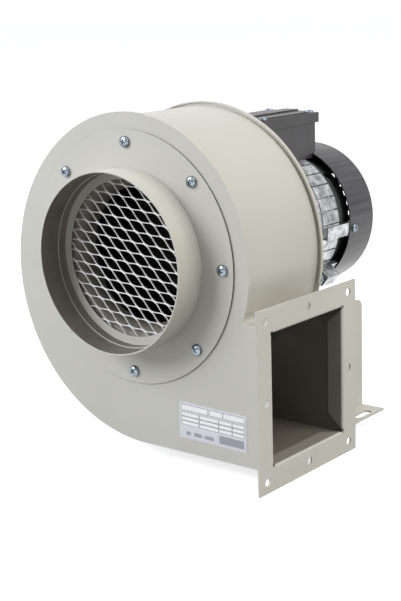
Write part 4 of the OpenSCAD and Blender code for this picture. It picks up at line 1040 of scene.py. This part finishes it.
class BLOWER_OT_rating_label(bpy.types.Operator):
    """Foil plate with empty printed fields, without words"""

    bl_idname = "blower.rating_label"
    bl_label = "Rating label"

    def execute(self, context):
        width, height, thick, line = 72.7, 32.7, 0.3, 0.35
        # Left, right, low and high as shares of the label
        head_columns, head_row = ((0.035, 0.425), (0.455, 0.65), (0.66, 0.965)), (0.785, 0.925)
        columns = ((0.035, 0.29), (0.31, 0.585), (0.6, 0.785), (0.795, 0.965))
        rows = ((0.62, 0.715), (0.5, 0.59), (0.38, 0.47))
        fields = [(*column, *head_row) for column in head_columns]
        fields += [(*column, *row) for column in columns for row in rows]
        blocks = [(*column, 0.1, 0.2) for column in ((0.1, 0.17), (0.22, 0.34), (0.38, 0.52))]
        blocks.append((0.6, 0.965, 0.08, 0.3))
        plate = box("rating_plate", (0, 0, 0), (width, thick, height))
        lines_x, lines_z = set(), set()
        for left, right, low, high in fields + blocks:
            for share, grow in ((left, -line), (left, 0), (right, 0), (right, line)):
                lines_x.add(round((share - 0.5) * width + grow, 3))
            for share, grow in ((low, -line), (low, 0), (high, 0), (high, line)):
                lines_z.add(round((share - 0.5) * height + grow, 3))
        bpy.ops.object.mode_set(mode="EDIT")
        for normal, places in (((1, 0, 0), lines_x), ((0, 0, 1), lines_z)):
            for place in sorted(places):
                bpy.ops.mesh.select_all(action="SELECT")
                bpy.ops.mesh.bisect(plane_co=[n * place * MM for n in normal], plane_no=normal)
        done()
        dress(plate, "blower", "label", "foil", "field", "rule", "block")

        def inside(centre, grow, areas):
            return any(
                (left - 0.5) * width - grow < centre.x < (right - 0.5) * width + grow
                and (low - 0.5) * height - grow < centre.z < (high - 0.5) * height + grow
                for left, right, low, high in areas
            )

        for face in plate.data.polygons:
            if face.normal.y < -0.5:
                centre = face.center / MM
                if inside(centre, 0, blocks):
                    face.material_index = 3
                elif inside(centre, 0, fields):
                    face.material_index = 1
                elif inside(centre, line, fields):
                    face.material_index = 2
        low, high = span("rating_label")
        move_to(plate, shifted(*[(a + b) / 2 for a, b in zip(low, high)]) @ turned(1))
        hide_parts("rating_label")
        return {"FINISHED"}


class BLOWER_OT_feet(bpy.types.Operator):
    """Bracket feet with rounded folds, and their bolts"""

    bl_idname = "blower.feet"
    bl_label = "Feet"

    def execute(self, context):
        for node, name in (("foot_right", "right_bracket"), ("foot_left", "left_bracket")):
            piece = copy_of(node, name)
            soften(piece, 0.6, 3, 50)
            dress(piece, "blower", "casing_paint", "casing")
        for node in ("foot_bolts", "foot_nuts", "motor_screws", "motor_washers"):
            dress_node(node, "zinc")
        return {"FINISHED"}


class BLOWER_OT_impeller(bpy.types.Operator):
    """Wheel, hub and end bolt"""

    bl_idname = "blower.impeller"
    bl_label = "Impeller"

    def execute(self, context):
        for node in ("impeller_blades", "impeller_ring", "impeller_disc"):
            dress_node(node, "wheel")
        for node in ("impeller_hub", "hub_rivets", "shaft_key"):
            dress_node(node, "steel")
        dress_node("end_bolt", "zinc")
        return {"FINISHED"}


class BLOWER_OT_motor(bpy.types.Operator):
    """Cast frame, end shields and cowl"""

    bl_idname = "blower.motor"
    bl_label = "Motor"

    def execute(self, context):
        edge = size_mm("cast_edge")
        shell = copy_of("motor_frame", "cast_motor_frame")
        dress(shell, "blower", "cast_alloy", "cast", "cast_edge")
        # The rounded edges take the lighter aluminium, a painted highlight.
        soften(shell, edge, 2, 40, 1)
        nose = copy_of("front_shield", "flanged_end_shield")
        soften(nose, edge, 2, 40)
        dress(nose, "blower", "cast_alloy", "cast")
        tail = copy_of("rear_shield", "rear_end_shield")
        soften(tail, edge, 2, 40)
        dress(tail, "blower", "dark_casting", "shield")
        cowl = copy_of("fan_cowl", "pressed_fan_cowl")
        soften(cowl, 0.3, 2, 50)
        dress(cowl, "blower", "motor_paint", "cowl")
        dress_node("cooling_fan", "nylon")
        dress_node("fan_circlip", "steel")
        return {"FINISHED"}


class BLOWER_OT_terminal_box(bpy.types.Operator):
    """Box, lid and cable gland, with what the box holds"""

    bl_idname = "blower.terminal_box"
    bl_label = "Terminal box"

    def execute(self, context):
        edge = size_mm("box_edge")
        for node, name in (("box_body", "terminal_box"), ("box_lid", "terminal_lid")):
            piece = copy_of(node, name)
            soften(piece, edge, 3, 50)
            dress(piece, "blower", "motor_paint", "box")
        for node, name in (("cable_gland", "gland_body"), ("gland_nuts", "gland_caps")):
            piece = copy_of(node, name)
            soften(piece, 0.35, 2, 50)
            dress(piece, "blower", "black_plastic", "nylon")
        dress_node("box_gasket", "rubber")
        dress_node("box_screws", "zinc")
        dress_node("terminal_block", "nylon")
        dress_node("terminal_studs", "brass")
        dress_node("run_capacitor", "can")
        dress_node("capacitor_clip", "zinc")
        return {"FINISHED"}


class BLOWER_OT_inner_parts(bpy.types.Operator):
    """Finishes of the stator, rotor, shaft and bearings"""

    bl_idname = "blower.inner_parts"
    bl_label = "Inner parts"

    def execute(self, context):
        finishes = {
            "stator_core": "sheets",
            "rotor_core": "sheets",
            "stator_winding": "wire",
            "rotor_cage": "cast",
            "motor_shaft": "steel",
            "shaft_seal": "rubber",
            "wave_washer": "steel",
            "shield_screws_front": "zinc",
            "shield_screws_rear": "zinc",
        }
        for end in ("front", "rear"):
            for part in ("outer", "balls", "inner"):
                finishes[f"{end}_bearing_{part}"] = "steel"
        for node, name in finishes.items():
            dress_node(node, name)
        return {"FINISHED"}


class BLOWER_OT_stage(bpy.types.Operator):
    """Floor, lamps, world and camera"""

    bl_idname = "blower.stage"
    bl_label = "Stage"

    def execute(self, context):
        scene = context.scene
        scene.view_settings.view_transform = "Standard"
        white = linear(colours_hex(scene.blower_colours.backdrop))
        low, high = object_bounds()
        bpy.ops.object.select_all(action="DESELECT")
        bpy.ops.mesh.primitive_plane_add(size=30, location=(0, 0, low.z - 0.2 * MM))
        floor = named("floor")
        material = bpy.data.materials.new("pale_floor")
        tree, seen = self.seen_rays(material)
        bounce = add(tree, "ShaderNodeBsdfDiffuse", {"Color": linear("#8A8A86")})
        paper = add(tree, "ShaderNodeBsdfDiffuse", {"Color": linear("#EDEDED")})
        glow = add(tree, "ShaderNodeEmission", {"Color": white, "Strength": 0.68})
        shown = add(tree, "ShaderNodeAddShader", {0: paper.outputs[0], 1: glow.outputs[0]})
        mixed = add(tree, "ShaderNodeMixShader", {0: seen, 1: bounce.outputs[0], 2: shown.outputs[0]})
        add(tree, "ShaderNodeOutputMaterial", {"Surface": mixed.outputs[0]})
        floor.data.materials.append(material)
        floor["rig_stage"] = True
        scene.world = bpy.data.worlds.new("studio")
        tree, seen = self.seen_rays(scene.world)
        air = add(tree, "ShaderNodeBackground", {"Color": linear("#F2F5FA"), "Strength": 0.42})
        wall = add(tree, "ShaderNodeBackground", {"Color": white, "Strength": 1.0})
        mixed = add(tree, "ShaderNodeMixShader", {0: seen, 1: air.outputs[0], 2: wall.outputs[0]})
        add(tree, "ShaderNodeOutputWorld", {"Surface": mixed.outputs[0]})
        middle = (low + high) / 2
        for name, place, size, power, tint in (
            ("key_lamp", (-1.1, -1.5, 0.95), 1.2, 40, "#F6F8FF"),
            ("top_lamp", (1.0, 0.2, 1.7), 1.1, 21, "#FFFFFF"),
            ("side_lamp", (1.75, 0.35, 0.9), 0.9, 11, "#FFF6E9"),
        ):
            bpy.ops.object.light_add(type="AREA", location=place)
            lamp = bpy.context.object
            lamp.name = name
            lamp.rotation_euler = (middle - Vector(place)).to_track_quat("-Z", "Y").to_euler()
            lamp.data.size = size
            lamp.data.energy = power
            lamp.data.color = linear(tint)[:3]
        self.set_camera(scene)
        return {"FINISHED"}

    def seen_rays(self, owner):
        """Empties a material's or world's nodes. Returns them and a value that is 1 for rays that show it."""
        owner.use_nodes = True
        tree = owner.node_tree
        tree.nodes.clear()
        rays = add(tree, "ShaderNodeLightPath").outputs
        seen = rays["Is Camera Ray"]
        for kind in ("Is Glossy Ray", "Is Transmission Ray"):
            seen = add(tree, "ShaderNodeMath", {0: seen, 1: rays[kind]}, operation="MAXIMUM").outputs[0]
        return tree, seen

    def set_camera(self, scene):
        """Sets the camera as it stood for the photograph."""
        azimuth, elevation, roll = (math.radians(v) for v in (38.89, 13.17, -1.77))
        flat = math.cos(elevation)
        back = Vector((math.sin(azimuth) * flat, -math.cos(azimuth) * flat, math.sin(elevation)))
        right = (-back).cross(Vector((0, 0, 1))).normalized()
        up = right.cross(-back)
        across = right * math.cos(roll) + up * math.sin(roll)
        upward = -right * math.sin(roll) + up * math.cos(roll)
        bpy.ops.object.camera_add(location=(0.75441, -0.83957, 0.22421))
        camera = bpy.context.object
        camera.name = "photo_camera"
        camera.rotation_euler = Matrix((across, upward, back)).transposed().to_euler()
        camera.data.lens = 79.02
        camera.data.sensor_width = 36
        camera.data.clip_start, camera.data.clip_end = 0.05, 100
        scene.camera = camera


STEPS = (
    "casing",
    "inlet",
    "guard_mesh",
    "screws",
    "earth_bolt",
    "rating_label",
    "feet",
    "impeller",
    "motor",
    "terminal_box",
    "inner_parts",
    "stage",
)


class BLOWER_PT_panel(bpy.types.Panel):
    """Lists the steps that dress the blower"""

    bl_idname = "BLOWER_PT_panel"
    bl_label = "Blower"
    bl_space_type = "VIEW_3D"
    bl_region_type = "UI"
    bl_category = "Blower"

    def draw(self, context):
        for group in (context.scene.blower_sizes, context.scene.blower_colours):
            for key in group.__annotations__:
                self.layout.prop(group, key)
        for step in STEPS:
            self.layout.operator(f"blower.{step}")


CLASSES = (
    BlowerSizes,
    BlowerColours,
    BLOWER_OT_casing,
    BLOWER_OT_inlet,
    BLOWER_OT_guard_mesh,
    BLOWER_OT_screws,
    BLOWER_OT_earth_bolt,
    BLOWER_OT_rating_label,
    BLOWER_OT_feet,
    BLOWER_OT_impeller,
    BLOWER_OT_motor,
    BLOWER_OT_terminal_box,
    BLOWER_OT_inner_parts,
    BLOWER_OT_stage,
    BLOWER_PT_panel,
)


def register():
    for cls in CLASSES:
        bpy.utils.register_class(cls)
    bpy.types.Scene.blower_sizes = PointerProperty(type=BlowerSizes)
    bpy.types.Scene.blower_colours = PointerProperty(type=BlowerColours)


def unregister():
    del bpy.types.Scene.blower_sizes
    del bpy.types.Scene.blower_colours
    for cls in reversed(CLASSES):
        bpy.utils.unregister_class(cls)


def main():
    register()
    for step in STEPS:
        getattr(bpy.ops.blower, step)()


if __name__ == "__main__":
    main()
